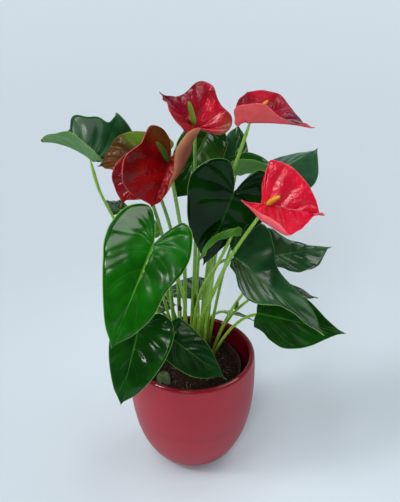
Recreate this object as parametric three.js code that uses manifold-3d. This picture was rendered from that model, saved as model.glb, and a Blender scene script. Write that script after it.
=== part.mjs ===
// A potted flamingo flower (anthurium): a glazed outer pot, the plant's own nursery pot with its peat,
// and the living plant, whose leaves and blooms each stand on a stalk of their own from the crown.
// Millimetres, +Z up, origin at the centre of the outer pot's foot. The plant is seen from -Y.
import * as THREE from "three";
import { mergeVertices } from "three/addons/utils/BufferGeometryUtils.js";
import Module from "manifold-3d";

const wasm = await Module();
wasm.setup();

// ---------------------------------------------------------------- driving dimensions

const GAP = 0.3; // clearance where one piece meets another

const POT_HEIGHT = 140;
const POT_RADIUS = 70; // at the rim
const POT_WALL = 6.5;
const FOOT_RADIUS = 30;

const NURSERY_RADIUS = 57; // at its rim
const NURSERY_BASE_RADIUS = 42.5;
const NURSERY_BASE = 24; // height of its base above the table, where it rests on the sloping wall
const NURSERY_HEIGHT = 100;
const NURSERY_WALL = 1.2;
const NURSERY_SHIFT = new THREE.Vector2(-2, -1); // it stands a little off centre in the outer pot

const SOIL_LEVEL = 115; // at the wall
const SOIL_MOUND = 6; // how much higher the peat lies round the crown
const SOIL_ROUGHNESS = 1.2;
const ROOT_DEPTH = 22; // how far the stalks go down into the peat

const LEAF_THICKNESS = 0.8;
const SPATHE_THICKNESS = 1.0;
const PETIOLE_RADIUS = 1.7;
const STALK_RADIUS = 2.1;
const SPADIX_RADIUS = 2.9;
const SEAT = 3.5; // how far in front of the notch a stalk meets its blade

const degrees = THREE.MathUtils.degToRad;

// ---------------------------------------------------------------- colours

const finish = (color, roughness) => new THREE.MeshStandardMaterial({ color, roughness, metalness: 0 });
const GLAZE = finish(0x9e2b38, 0.35);
const NURSERY_PLASTIC = finish(0x3a2420, 0.5);
const PEAT = finish(0x2a1b14, 0.95);
const LEAF_GREEN = finish(0x14521a, 0.3);
const YOUNG_GREEN = finish(0x3f7d20, 0.35);
const STALK_GREEN = finish(0x6ea02e, 0.45);
const SPATHE_RED = finish(0xb3152a, 0.2);
const SPATHE_DARK = finish(0x7c1019, 0.2);
const SPATHE_AGED = finish(0x6d5a26, 0.3);
const SPADIX_YELLOW = finish(0xe0b030, 0.6);
const SPADIX_GREEN = finish(0x6f9a2c, 0.6);

// ---------------------------------------------------------------- solids

function solidOf(geometry) {
  const bare = new THREE.BufferGeometry().setAttribute("position", geometry.getAttribute("position"));
  bare.setIndex(geometry.index);
  const merged = mergeVertices(bare, 1e-4);
  return new wasm.Manifold(
    new wasm.Mesh({
      numProp: 3,
      vertProperties: merged.attributes.position.array,
      triVerts: new Uint32Array(merged.index.array),
    }),
  );
}

function geometryOf(solid) {
  const { numProp, vertProperties, triVerts } = solid.getMesh();
  const points = [];
  for (let i = 0; i < vertProperties.length; i += numProp) points.push(...vertProperties.slice(i, i + 3));
  return new THREE.BufferGeometry()
    .setAttribute("position", new THREE.Float32BufferAttribute(points, 3))
    .setIndex([...triVerts]);
}

// What is left of a solid after the cut, without the scraps that the cut leaves beyond it.
function largestPiece(solid) {
  return solid.decompose().reduce((best, piece) => (piece.volume() > best.volume() ? piece : best));
}

function named(name, geometry, material) {
  const mesh = new THREE.Mesh(geometry, material);
  mesh.name = name;
  return mesh;
}

function lathe(profile, segments) {
  const points = profile.map(([radius, height]) => new THREE.Vector2(radius, height));
  return new THREE.LatheGeometry(points, segments).rotateX(Math.PI / 2);
}

// A round rod along a curve. radiusAt(along, round) gives its radius, so it can taper, swell or carry relief.
function rod(curve, steps, sides, radiusAt) {
  const frames = curve.computeFrenetFrames(steps, false);
  const points = [];
  const faces = [];
  for (let i = 0; i <= steps; i++) {
    const centre = curve.getPointAt(i / steps);
    for (let k = 0; k < sides; k++) {
      const angle = (2 * Math.PI * k) / sides;
      const radius = radiusAt(i, k);
      const rim = frames.normals[i].clone().multiplyScalar(Math.cos(angle) * radius);
      rim.addScaledVector(frames.binormals[i], Math.sin(angle) * radius).add(centre);
      points.push(...rim);
    }
  }
  for (let i = 0; i < steps; i++)
    for (let k = 0; k < sides; k++) {
      const a = i * sides + k;
      const b = i * sides + ((k + 1) % sides);
      faces.push(a, b, b + sides, a, b + sides, a + sides);
    }
  const first = points.length / 3;
  points.push(...curve.getPointAt(0), ...curve.getPointAt(1));
  for (let k = 0; k < sides; k++) {
    const next = (k + 1) % sides;
    faces.push(first, next, k, first + 1, steps * sides + k, steps * sides + next);
  }
  return new THREE.BufferGeometry()
    .setAttribute("position", new THREE.Float32BufferAttribute(points, 3))
    .setIndex(faces);
}

// ---------------------------------------------------------------- leaves and spathes

// Half of a blade's outline, from the notch round the lobe to the tip: across in shares of the half width,
// and along in shares of the lobe's length behind the stalk or of the blade's length in front of it.
const CORDATE = [
  [0, 0], [0.13, -0.5], [0.42, -1], [0.8, -0.8], [1, -0.05],
  [0.96, 0.27], [0.74, 0.56], [0.4, 0.82], [0.1, 0.95], [0, 1],
];
const OVATE = [
  [0, 0], [0.2, -0.6], [0.5, -1], [0.82, -0.5], [0.98, 0.14],
  [1, 0.34], [0.86, 0.6], [0.5, 0.84], [0.12, 0.96], [0, 1],
];
const WAISTED = [
  [0, 0], [0.13, -0.5], [0.42, -1], [0.84, -0.8], [1, -0.1],
  [0.84, 0.18], [0.56, 0.4], [0.36, 0.64], [0.14, 0.88], [0, 1],
];
const SHOULDERED = [
  [0, 0], [0.2, -0.6], [0.55, -1], [0.86, -0.7], [1, 0.05],
  [0.98, 0.36], [0.74, 0.62], [0.34, 0.7], [0.12, 0.86], [0, 1],
];
const ROUND = [
  [0, 0], [0.2, -0.7], [0.5, -1], [0.84, -0.7], [1, 0.08],
  [1, 0.42], [0.84, 0.72], [0.5, 0.92], [0.12, 0.98], [0, 1.03],
];
const SLIM_LOBED = [
  [0, 0], [0.08, -0.6], [0.2, -1], [0.34, -0.7], [0.6, -0.1],
  [0.92, 0.3], [1, 0.5], [0.8, 0.74], [0.34, 0.94], [0, 1],
];
const LOBELESS = [
  [0, 0], [0.25, -0.4], [0.54, 0.05], [0.82, 0.2], [1, 0.35],
  [0.92, 0.5], [0.7, 0.65], [0.38, 0.79], [0.12, 0.91], [0, 1],
];
const BLUNT = [
  [0, 0], [0.2, -0.6], [0.5, -1], [0.84, -0.6], [0.98, 0.1],
  [1, 0.4], [0.94, 0.66], [0.72, 0.84], [0.34, 0.94], [0, 1],
];
const VEINS_LEAVE_MIDRIB = 0.42; // share of the outline whose veins all start at the stalk

function outlineCurve(outline, halfWidth, length, lobe) {
  const place = ([across, along]) =>
    new THREE.Vector2(across * halfWidth, along * (along < 0 ? lobe : length));
  return new THREE.SplineCurve(outline.map(place));
}

// Where a length u lies on a line that starts at slope a and turns by k per unit: [run, rise].
function arc(u, a, k) {
  if (Math.abs(k) < 1e-6) return [u * Math.cos(a), u * Math.sin(a)];
  return [(Math.sin(a + k * u) - Math.sin(a)) / k, (Math.cos(a) - Math.cos(a + k * u)) / k];
}

const HEM_FROM = 0.67; // share of the way to the margin at which a margin that rolls over starts to

// How far the margin rolls over at s: each of the blade's rolls is strongest at its place on the margin.
function rollTurn(form, side, s) {
  const share = ([ownSide, at, reach]) => (ownSide === side ? Math.exp(-(((s - at) / reach) ** 2)) : 0);
  return form.rolls.reduce((turn, roll) => turn + degrees(roll[3]) * share(roll), 0);
}

// A point of the blade's middle surface. side is -1 on the left half and 1 on the right, s runs from the
// notch to the tip and t from the midrib to the margin. The blade is folded along its midrib, curls on
// towards its margins and may roll them over, droops along its length, lifts its lobes and waves.
function bladePoint(form, side, s, t) {
  const pick = (pair) => (Array.isArray(pair) ? pair[side < 0 ? 0 : 1] : pair);
  const halfWidth = pick(form.width);
  const lobe = pick(form.lobe);
  const margin = outlineCurve(pick(form.outline), halfWidth, form.length, lobe).getPoint(s);
  const start = Math.max(0, (s - VEINS_LEAVE_MIDRIB) / (1 - VEINS_LEAVE_MIDRIB)) ** 1.3 * form.length;
  const across = margin.x * t;
  const along = start + (margin.y - start) * t;

  const fold = degrees(pick(form.fold));
  const curl = degrees(pick(form.curl)) / halfWidth;
  const hem = HEM_FROM * margin.x;
  let [x, z] = arc(Math.min(across, hem), fold, curl);
  const hemTurn = curl + rollTurn(form, side, s) / Math.max(margin.x - hem, 1e-6);
  const [overX, overZ] = arc(Math.max(across - hem, 0), fold + curl * hem, hemTurn);
  x += overX;
  z += overZ;
  z += form.wave * t * t * Math.sin(2 * Math.PI * form.waves * s + side * form.phase);
  x *= side;
  const twist = degrees(form.twist) * (along / form.length);
  [x, z] = [x * Math.cos(twist) + z * Math.sin(twist), z * Math.cos(twist) - x * Math.sin(twist)];

  const behind = along < 0;
  const turn = behind ? degrees(pick(form.lift)) / lobe : -degrees(form.droop) / form.length;
  const reach = Math.abs(along);
  const [run, rise] = arc(reach, 0, turn);
  const slope = turn * reach;
  const forward = run - Math.sin(slope) * z;
  return new THREE.Vector3(x, behind ? -forward : forward, rise + Math.cos(slope) * z);
}

// The same point in the plant's frame, where the blade's own bends move it: each is strongest at its place
// on the margin and fades towards the midrib.
function bladePlace(form, side, s, t) {
  const place = bladePoint(form, side, s, t).applyMatrix4(bladeFrame(form).matrix);
  for (const [ownSide, at, reach, ...way] of form.bends) {
    const share = ownSide === side ? Math.exp(-(((s - at) / reach) ** 2)) * t * t : 0;
    place.addScaledVector(new THREE.Vector3(...way), share);
  }
  return place;
}

// The blade as a thin closed body, split alike on both faces.
function bladeGeometry(form, thickness) {
  const { rows, cols } = form;
  const points = [bladePlace(form, 1, 0, 0), bladePlace(form, 1, 1, 0)];
  const ids = new Map();
  const id = (i, j) => {
    if (i === 0 || (j === 0 && i / rows <= VEINS_LEAVE_MIDRIB)) return 0;
    if (i === rows) return 1;
    const key = i * 100 + j;
    if (!ids.has(key)) {
      ids.set(key, points.length);
      points.push(bladePlace(form, j < 0 ? -1 : 1, i / rows, Math.abs(j) / cols));
    }
    return ids.get(key);
  };
  const faces = []; // row 1 leaves the notch in a straight line, and is the edge of the blade there
  for (let i = 1; i < rows; i++)
    for (let j = -cols; j < cols; j++) {
      const [a, b, c, d] = [id(i, j), id(i, j + 1), id(i + 1, j + 1), id(i + 1, j)];
      const halves = j < 0 ? [[a, b, c], [a, c, d]] : [[a, b, d], [b, c, d]];
      for (const [p, q, r] of halves) if (p !== q && q !== r && r !== p) faces.push([p, q, r]);
    }
  const normals = points.map(() => new THREE.Vector3());
  for (const [p, q, r] of faces) {
    const toQ = points[q].clone().sub(points[p]);
    const normal = toQ.cross(points[r].clone().sub(points[p]));
    for (const corner of [p, q, r]) normals[corner].add(normal);
  }
  normals.forEach((normal) => normal.normalize());

  const count = points.length;
  const both = [1, -1].flatMap((face) =>
    points.flatMap((point, i) => [...point.clone().addScaledVector(normals[i], (face * thickness) / 2)]),
  );
  const index = faces.flatMap(([p, q, r]) => [p, q, r, p + count, r + count, q + count]);
  const rim = [0];
  for (let j = 1; j < cols; j++) rim.push(id(1, j));
  for (let i = 1; i < rows; i++) rim.push(id(i, cols));
  rim.push(1);
  for (let i = rows - 1; i > 0; i--) rim.push(id(i, -cols));
  for (let j = cols - 1; j > 0; j--) rim.push(id(1, -j));
  rim.forEach((a, i) => {
    const b = rim[(i + 1) % rim.length];
    index.push(b, a, a + count, b, a + count, b + count);
  });
  return new THREE.BufferGeometry()
    .setAttribute("position", new THREE.Float32BufferAttribute(both, 3))
    .setIndex(index);
}

const LEAF = {
  outline: [CORDATE, CORDATE], thickness: LEAF_THICKNESS, rows: 12, cols: 3,
  length: 90, width: 40, lobe: 30, fold: 10, curl: 0, droop: 30, lift: 10, twist: 0,
  wave: 1.5, waves: 2.2, phase: 0.6, bends: [], rolls: [],
};
const SPATHE = { ...LEAF, outline: [ROUND, ROUND], thickness: SPATHE_THICKNESS, rows: 13, cols: 3, wave: 1 };

// at: where the stalk meets the blade. heading: which way the tip points, 0 to the back, 90 to the left and
// 180 to the front. pitch: how far it points up. roll: how far its right side is turned down.
// root: where the stalk leaves the peat. via: points that it passes on its way.
const LEAVES = {
  front_left: {
    at: [-36, -75, 327], heading: 150, pitch: -42, roll: -26, length: 106, width: [38, 36], lobe: [30, 36],
    fold: [8, 12], droop: 22, root: [-5, 11], via: [[-12, -26, 250]],
    bends: [[1, 0.4, 0.17, -14, 12, -8], [-1, 0.58, 0.07, -7, 0, 0], [-1, 0.2, 0.1, 3, 0, 0]],
  },
  front_low: {
    at: [-53, -68, 226], heading: 160, pitch: -46, roll: -14, length: 82, width: [37, 27], lobe: [17, 20],
    fold: [6, 14], droop: 20, root: [-14, 6], via: [[-34, -34, 200]],
  },
  front_small: {
    at: [-22, -32, 183], heading: -116, pitch: -26, roll: 40, length: 73, width: [20, 23], lobe: [11, 12],
    droop: 18, outline: [OVATE, OVATE], root: [-6, 2], via: [[-12, -14, 160]], rows: 10,
    bends: [[-1, 0.35, 0.12, 2, 3, 5], [-1, 0.75, 0.12, -4, 0, -1], [1, 0.82, 0.1, 0, 2, 3]],
  },
  centre: {
    at: [42, -21, 354], heading: 128, pitch: -63, roll: -52, length: 84, width: [36, 42], lobe: [32, 30],
    fold: [6, 10], droop: 18, outline: [WAISTED, CORDATE], root: [6, 20], via: [[24, 8, 270]],
    bends: [[1, 0.42, 0.1, -6, 1, 2], [1, 0.8, 0.12, 5, 0, 0], [-1, 0.58, 0.1, 6, -2, -3]],
  },
  right_broad: {
    at: [44, -25, 282], heading: -119, pitch: -32, roll: 46, length: 120, width: [42, 27], lobe: [22, 4],
    droop: -10, twist: -44, outline: [WAISTED, LOBELESS],
    root: [13, 13], via: [[16, -2, 190], [28, -16, 268]],
    bends: [
      [-1, 0.48, 0.07, 4, 1, 1], [-1, 0.65, 0.08, -6, 0, 0], [-1, 0.83, 0.08, 5, 0, 1],
      [1, 0.2, 0.1, 4, 0, 0], [1, 0.68, 0.14, 0, 6, 10],
    ],
  },
  right_low: {
    at: [71, 0, 193], heading: -105, pitch: -4, roll: 48, length: 99, width: [30, 32], lobe: [4, 4],
    droop: 20, outline: [LOBELESS, LOBELESS], root: [23, 14], via: [[42, 12, 161], [60, 5, 184]],
    bends: [[-1, 0.7, 0.15, -4, 0, 0]],
  },
  right_mid: {
    at: [90, 25, 251], heading: -86, pitch: 10, roll: 40, length: 62, width: [32, 27], lobe: [16, 4],
    droop: 16, twist: -34, outline: [WAISTED, LOBELESS],
    root: [23, 23], via: [[38, 22, 168], [56, 21, 204]],
    bends: [[-1, 0.6, 0.08, -1, -3, -5], [-1, 0.75, 0.1, 0, -2, -3], [1, 0.66, 0.16, 2, -2, -4]],
  },
  right_inner: {
    at: [78, 43, 198], heading: -98, pitch: -2, roll: -6, length: 64, width: [15, 20], lobe: [8, 8],
    droop: 12, root: [24, 31], via: [[44, 40, 160]], rows: 10, cols: 2,
  },
  right_high: {
    at: [70, 45, 330], heading: -74, pitch: 30, roll: 22, length: 72, width: [30, 35], lobe: [20, 10],
    fold: [-30, -34], droop: 14, outline: [CORDATE, BLUNT], root: [18, 36], via: [[42, 42, 250]], rows: 10,
    bends: [[-1, 0.22, 0.1, 9, 0, 0]],
  },
  back_right: {
    at: [43, 40, 342], heading: -84, pitch: 8, roll: 0, length: 50, width: [28, 27], lobe: [5, 6],
    fold: [14, 58], droop: 10, root: [15, 30], via: [[28, 36, 260]], rows: 10,
    bends: [[-1, 0.64, 0.12, 1, 2, 3]],
  },
  back_high: {
    at: [44, 65, 332], heading: -14, pitch: 60, roll: 20, length: 50, width: [18, 14], lobe: [3, 3],
    droop: 6, outline: [OVATE, OVATE], root: [9, 36], via: [[26, 56, 250]], rows: 10, cols: 2,
  },
  back_centre: {
    at: [17, 56, 383], heading: 144, pitch: -41, roll: -30, length: 76, width: [30, 24], lobe: [10, 10],
    droop: 14, outline: [OVATE, OVATE], root: [1, 35], via: [[8, 50, 250]], rows: 10,
    bends: [[-1, 0.38, 0.14, -5, 0, 0]],
  },
  left_high: {
    at: [-97, -2, 380], heading: 66, pitch: 32, roll: 0, length: 60, width: [36, 46], lobe: [10, 36],
    fold: [56, 46], droop: 46, wave: 3, outline: [OVATE, SHOULDERED], rows: 16, root: [-22, 24],
    via: [[-62, 16, 258], [-82, 6, 313], [-93, 0, 346]],
    bends: [
      [1, 0.26, 0.15, -3, 18, 9], [1, 0.4, 0.06, -9, 7, 11], [1, 0.5, 0.06, 1, -7, -11],
      [1, 0.6, 0.05, 1, -4, -7], [1, 0.76, 0.05, 6, 0, 0], [-1, 0.68, 0.1, 2, -3, -6],
    ],
  },
  left_inner: {
    at: [-76, 25, 308], heading: 36, pitch: 12, roll: 0, length: 26, width: [11, 13], lobe: [6, 6],
    root: [-18, 33], via: [[-46, 32, 240]], rows: 8, cols: 2,
    bends: [[1, 0.52, 0.12, -5, 0, 0]],
  },
  left_young: {
    at: [-41, -31, 311], heading: 0, pitch: 40, roll: 0, length: 23, width: [12, 10], lobe: [2, 2],
    root: [-9, 35], via: [[-30, 14, 220]], rows: 8, cols: 2,
  },
  back_low: {
    at: [9, 70, 176], heading: 92, pitch: 0, roll: -20, length: 44, width: [16, 16], lobe: [14, 14],
    droop: 16, root: [4, 41], via: [[7, 58, 152]], rows: 10, cols: 2,
  },
  back_left: {
    at: [-58, 55, 168], heading: -94, pitch: 2, roll: 30, length: 40, width: [16, 16], lobe: [12, 12],
    droop: 16, root: [-6, 42], via: [[-30, 54, 150]], rows: 10, cols: 2,
  },
  back_rim: {
    at: [43, 73, 140], heading: -94, pitch: -8, roll: -24, length: 32, width: [9, 9], lobe: [6, 6],
    droop: 16, wave: 0.5, root: [13, 40], via: [[18, 48, 148], [32, 62, 150]], rows: 8, cols: 2,
  },
  young_curled: {
    at: [45, -40, 325], heading: 96, pitch: -2, roll: -6, length: 56, width: [7, 8], lobe: [5, 5],
    fold: [-46, -46], droop: 88, outline: [OVATE, OVATE], root: [-1, 18], via: [[8, 2, 215], [29, -33, 284]],
    rows: 8, cols: 2,
  },
};

const BLOOMS = {
  bloom_front: {
    at: [-19, -45, 404], heading: 156, pitch: -42, roll: -46, length: 48, width: [46, 46], lobe: [36, 26],
    fold: [22, 8], curl: [168, 0], droop: 14, outline: [WAISTED, ROUND], root: [-9, 19], via: [[-8, -6, 270]],
    rows: 14, cols: 4,
    bends: [
      [1, 0.2, 0.1, 0, -2, -3], [1, 0.4, 0.08, 6, -4, -6], [1, 0.72, 0.12, -3, 0, -1],
      [-1, 0.68, 0.16, -10, 0, 0],
    ],
    color: SPATHE_DARK, spadix: { tip: [-31, -62, 430], color: SPADIX_GREEN },
  },
  bloom_top: {
    at: [6, -6, 418], heading: 60, pitch: 33, roll: -20, length: 46, width: [28, 41], lobe: [8, 26],
    fold: [40, 34], droop: 0, outline: [ROUND, SHOULDERED], root: [-2, 27], via: [[4, 14, 280]],
    bends: [
      [1, 0.18, 0.1, -3, -3, -4], [1, 0.42, 0.1, -6, -3, -5], [1, 0.65, 0.08, 0, 1, 2],
      [-1, 0.3, 0.12, -5, -2, -3], [-1, 0.72, 0.12, 4, 0, 0],
    ],
    color: SPATHE_DARK, spadix: { tip: [-2, -17, 450], color: SPADIX_GREEN },
  },
  bloom_top_right: {
    at: [53, -14, 428], heading: -95, pitch: 4, roll: 0, length: 60, width: [33, 34], lobe: [12, 6],
    fold: [30, 54], lift: [10, -30], droop: 14, root: [8, 27], via: [[22, 14, 280]],
    bends: [
      [1, 0.15, 0.1, 1, -4, -6], [1, 0.28, 0.08, 3, -1, -3], [1, 0.66, 0.12, -4, -7, -11],
      [-1, 0.48, 0.1, 0, 1, 3], [-1, 0.74, 0.13, -8, -2, -4],
    ],
    color: SPATHE_RED, spadix: { tip: [73, -14, 450], color: SPADIX_YELLOW },
  },
  bloom_right: {
    at: [70, -50, 358], heading: -97, pitch: -6, roll: 30, length: 56, width: [43, 57], lobe: [6, 22],
    fold: [26, 22], droop: 8, outline: [CORDATE, SLIM_LOBED], root: [5, 10], rows: 14, cols: 4,
    via: [[8, -2, 180], [20, -16, 223], [39, -40, 290]],
    bends: [[1, 0.24, 0.12, 0, 2, 3], [1, 0.8, 0.18, -5, 6, 9]],
    rolls: [[1, 0.2, 0.1, 70], [1, 0.42, 0.22, 150]],
    color: SPATHE_RED, spadix: { tip: [84, -62, 373], color: SPADIX_YELLOW },
  },
  bloom_old: {
    at: [-41, -8, 385], heading: 104, pitch: 5, roll: -40, length: 49, width: [20, 28], lobe: [32, 26],
    root: [-13, 27], via: [[-20, 14, 280]], rows: 12,
    bends: [[1, 0.74, 0.12, 4, -1, -2], [-1, 0.72, 0.15, 0, 4, 6]],
    color: SPATHE_AGED, spadix: { tip: [-42, -14, 401], color: SPADIX_GREEN },
  },
  bloom_left: {
    at: [-44, -29, 381], heading: 137, pitch: -30, roll: -34, length: 38, width: [22, 27], lobe: [14, 12],
    root: [-18, 15], via: [[-28, -3, 280]], rows: 11,
    bends: [[1, 0.75, 0.14, 4, 0, 1], [-1, 0.75, 0.18, -2, 4, 7]],
    color: SPATHE_DARK, spadix: { tip: [-49, -40, 395], color: SPADIX_GREEN },
  },
};

// A blade's solid in the plant's frame. spare thickens it on both sides, to cut its neighbours clear of it.
function bladeFrame(form) {
  const frame = new THREE.Object3D();
  frame.rotation.set(degrees(form.pitch), degrees(form.roll), degrees(form.heading), "ZXY");
  frame.position.set(...form.at);
  frame.updateMatrix();
  return frame;
}

function bladeCutter(form) {
  return solidOf(bladeGeometry(form, form.thickness + 2 * GAP));
}

function soilHeight(x, y) {
  const reach = Math.hypot(x, y) / NURSERY_RADIUS;
  return SOIL_LEVEL + SOIL_MOUND * Math.max(0, 1 - reach * reach);
}

// A stalk's line: up from its root in the peat, past its via points, to its seat under the blade.
function stalkCurve(form) {
  const seat = bladePoint(form, 1, 1, 0).setLength(SEAT).applyMatrix4(bladeFrame(form).matrix);
  const [x, y] = form.root;
  const ground = soilHeight(x, y);
  return new THREE.CatmullRomCurve3([
    new THREE.Vector3(x * 0.9, y * 0.9, ground - ROOT_DEPTH),
    new THREE.Vector3(x, y, ground),
    ...form.via.map((point) => new THREE.Vector3(...point)),
    seat,
  ]);
}

function stalkRadius(radius, steps, spare = 0) {
  return (i) => radius * (1.15 - 0.3 * (i / steps)) + spare;
}

const STALK_STEPS = 10;
const STALK_SIDES = 6;

function stalkSolid(form, radius, spare = 0) {
  return solidOf(rod(stalkCurve(form), STALK_STEPS, STALK_SIDES, stalkRadius(radius, STALK_STEPS, spare)));
}

// ---------------------------------------------------------------- the plant

const plant = new THREE.Group();
const stalks = []; // every stalk's form and radius, for the holes in the peat

for (const [name, own] of Object.entries(LEAVES)) {
  const form = { ...LEAF, ...own };
  const blade = named(`leaf_${name}_blade`, bladeGeometry(form, form.thickness), LEAF_GREEN);
  const cut = largestPiece(stalkSolid(form, PETIOLE_RADIUS).subtract(bladeCutter(form)));
  plant.add(blade, named(`leaf_${name}_petiole`, geometryOf(cut), STALK_GREEN));
  stalks.push([form, PETIOLE_RADIUS]);
}

const SPADIX_STEPS = 10;
const SPADIX_SIDES = 8;
const FLORET_RELIEF = 0.3;
const SPADIX_BOW = 0.08; // share of its length

// The spadix stands on the spathe's face, bows on its way to its tip and is covered in rows of florets.
function spadixSolid(form) {
  const frame = bladeFrame(form).matrix;
  const foot = bladePoint(form, 1, 1, 0).setLength(SEAT).applyMatrix4(frame);
  const tip = new THREE.Vector3(...form.spadix.tip);
  const middle = foot.clone().lerp(tip, 0.5);
  middle.z += foot.distanceTo(tip) * SPADIX_BOW;
  const curve = new THREE.QuadraticBezierCurve3(foot, middle, tip);
  const radiusAt = (i, k) => {
    const along = i / SPADIX_STEPS;
    const body = SPADIX_RADIUS * Math.sqrt(Math.max(0.12, 1 - along ** 5)) * (1 - 0.2 * along);
    return body + FLORET_RELIEF * ((i + k) % 2 ? 1 : -1);
  };
  const spadix = solidOf(rod(curve, SPADIX_STEPS, SPADIX_SIDES, radiusAt));
  return largestPiece(spadix.subtract(bladeCutter(form)).subtract(stalkSolid(form, STALK_RADIUS, GAP)));
}

for (const [name, own] of Object.entries(BLOOMS)) {
  const form = { ...SPATHE, ...own };
  const spathe = named(`${name}_spathe`, bladeGeometry(form, form.thickness), form.color);
  const cut = largestPiece(stalkSolid(form, STALK_RADIUS).subtract(bladeCutter(form)));
  plant.add(
    spathe,
    named(`${name}_stalk`, geometryOf(cut), STALK_GREEN),
    named(`${name}_spadix`, geometryOf(spadixSolid(form)), form.spadix.color),
  );
  stalks.push([form, STALK_RADIUS]);
}

// ---------------------------------------------------------------- pots and peat

const POT_SEGMENTS = 48;

// Outside of the pot, from the foot to just under the rim: [radius, height].
const POT_SIDE = [
  [FOOT_RADIUS, 0], [38, 3], [47, 12], [55, 25], [61.5, 41],
  [66, 59], [69, 79], [70.4, 100], [POT_RADIUS + 0.6, 122],
];
const inner = (radius, height) => [radius - POT_WALL, height + POT_WALL * Math.max(0, 1 - height / 60)];
const potProfile = [
  [0, 0],
  ...POT_SIDE,
  [POT_RADIUS, POT_HEIGHT - 2.5], [POT_RADIUS - 1.5, POT_HEIGHT - 0.5], [POT_RADIUS - 3.2, POT_HEIGHT],
  [POT_RADIUS - 5, POT_HEIGHT - 0.6], [POT_RADIUS - POT_WALL, POT_HEIGHT - 3],
  ...POT_SIDE.slice(1).reverse().map(([radius, height]) => inner(radius, height)),
  [0, 9],
];

const NURSERY_SEGMENTS = 40;
const nurseryTop = NURSERY_BASE + NURSERY_HEIGHT;
const LIP = 1.6; // how far the nursery pot's rim band stands out
const LIP_DROP = 7;
const nurseryProfile = [
  [0, NURSERY_BASE], [NURSERY_BASE_RADIUS, NURSERY_BASE],
  [NURSERY_RADIUS - LIP - 1, nurseryTop - LIP_DROP], [NURSERY_RADIUS, nurseryTop - LIP_DROP],
  [NURSERY_RADIUS, nurseryTop], [NURSERY_RADIUS - NURSERY_WALL, nurseryTop],
  [NURSERY_RADIUS - LIP - 1 - NURSERY_WALL, nurseryTop - LIP_DROP],
  [NURSERY_BASE_RADIUS - NURSERY_WALL, NURSERY_BASE + NURSERY_WALL], [0, NURSERY_BASE + NURSERY_WALL],
];

const soilGap = NURSERY_WALL + GAP;
const flare = (NURSERY_RADIUS - LIP - 1 - NURSERY_BASE_RADIUS) / (NURSERY_HEIGHT - LIP_DROP);
const soilTopRadius = NURSERY_BASE_RADIUS + flare * (SOIL_LEVEL - NURSERY_BASE) - soilGap;
const SOIL_RINGS = 5;
const soilBase = NURSERY_BASE + soilGap;
const soilProfile = [[0, soilBase], [NURSERY_BASE_RADIUS - soilGap - 0.3, soilBase]];
for (let ring = 0; ring <= SOIL_RINGS; ring++) {
  const radius = soilTopRadius * (1 - ring / SOIL_RINGS);
  soilProfile.push([radius, soilHeight(radius, 0)]);
}

function soilSolid() {
  const geometry = lathe(soilProfile, NURSERY_SEGMENTS);
  const place = geometry.getAttribute("position");
  for (let i = 0; i < place.count; i++) {
    const [x, y, z] = [place.getX(i), place.getY(i), place.getZ(i)];
    if (z <= SOIL_LEVEL + 0.01) continue;
    place.setZ(i, z + SOIL_ROUGHNESS * Math.sin(x * 0.43 + 1) * Math.cos(y * 0.37));
  }
  let soil = solidOf(geometry).translate(NURSERY_SHIFT.x, NURSERY_SHIFT.y, 0);
  for (const [form, radius] of stalks) soil = soil.subtract(stalkSolid(form, radius, GAP));
  return soil;
}

const nurseryPot = named("nursery_pot", lathe(nurseryProfile, NURSERY_SEGMENTS), NURSERY_PLASTIC);
nurseryPot.position.set(NURSERY_SHIFT.x, NURSERY_SHIFT.y, 0);

const pottedAnthurium = new THREE.Group();
pottedAnthurium.add(
  named("cachepot", lathe(potProfile, POT_SEGMENTS), GLAZE),
  nurseryPot,
  named("soil", geometryOf(soilSolid()), PEAT),
  plant,
);

export default pottedAnthurium;
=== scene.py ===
import math
import random

import bpy
import numpy as np
from mathutils import Euler, Matrix, Vector, noise


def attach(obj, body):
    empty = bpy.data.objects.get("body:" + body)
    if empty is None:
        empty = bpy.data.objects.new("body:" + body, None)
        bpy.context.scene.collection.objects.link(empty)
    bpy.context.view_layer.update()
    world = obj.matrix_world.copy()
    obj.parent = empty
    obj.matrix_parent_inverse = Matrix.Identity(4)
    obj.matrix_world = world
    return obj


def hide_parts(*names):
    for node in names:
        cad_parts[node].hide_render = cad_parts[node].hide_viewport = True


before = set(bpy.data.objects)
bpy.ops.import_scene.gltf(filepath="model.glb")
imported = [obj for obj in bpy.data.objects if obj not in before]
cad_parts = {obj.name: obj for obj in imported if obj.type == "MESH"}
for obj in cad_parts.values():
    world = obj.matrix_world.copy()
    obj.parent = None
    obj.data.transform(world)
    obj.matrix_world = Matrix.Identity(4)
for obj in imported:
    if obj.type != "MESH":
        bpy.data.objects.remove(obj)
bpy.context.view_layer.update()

# ------------------------------------------------------------------ the table and the light
# The plant stands on a pale blue-grey seamless sheet, seen from a little above its own height. Wide
# soft light from overhead and from the left casts the pale shadow to the right. The paper that rises
# behind the plant gives the leaves their sheen, and in front of it the studio is dark.

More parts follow.
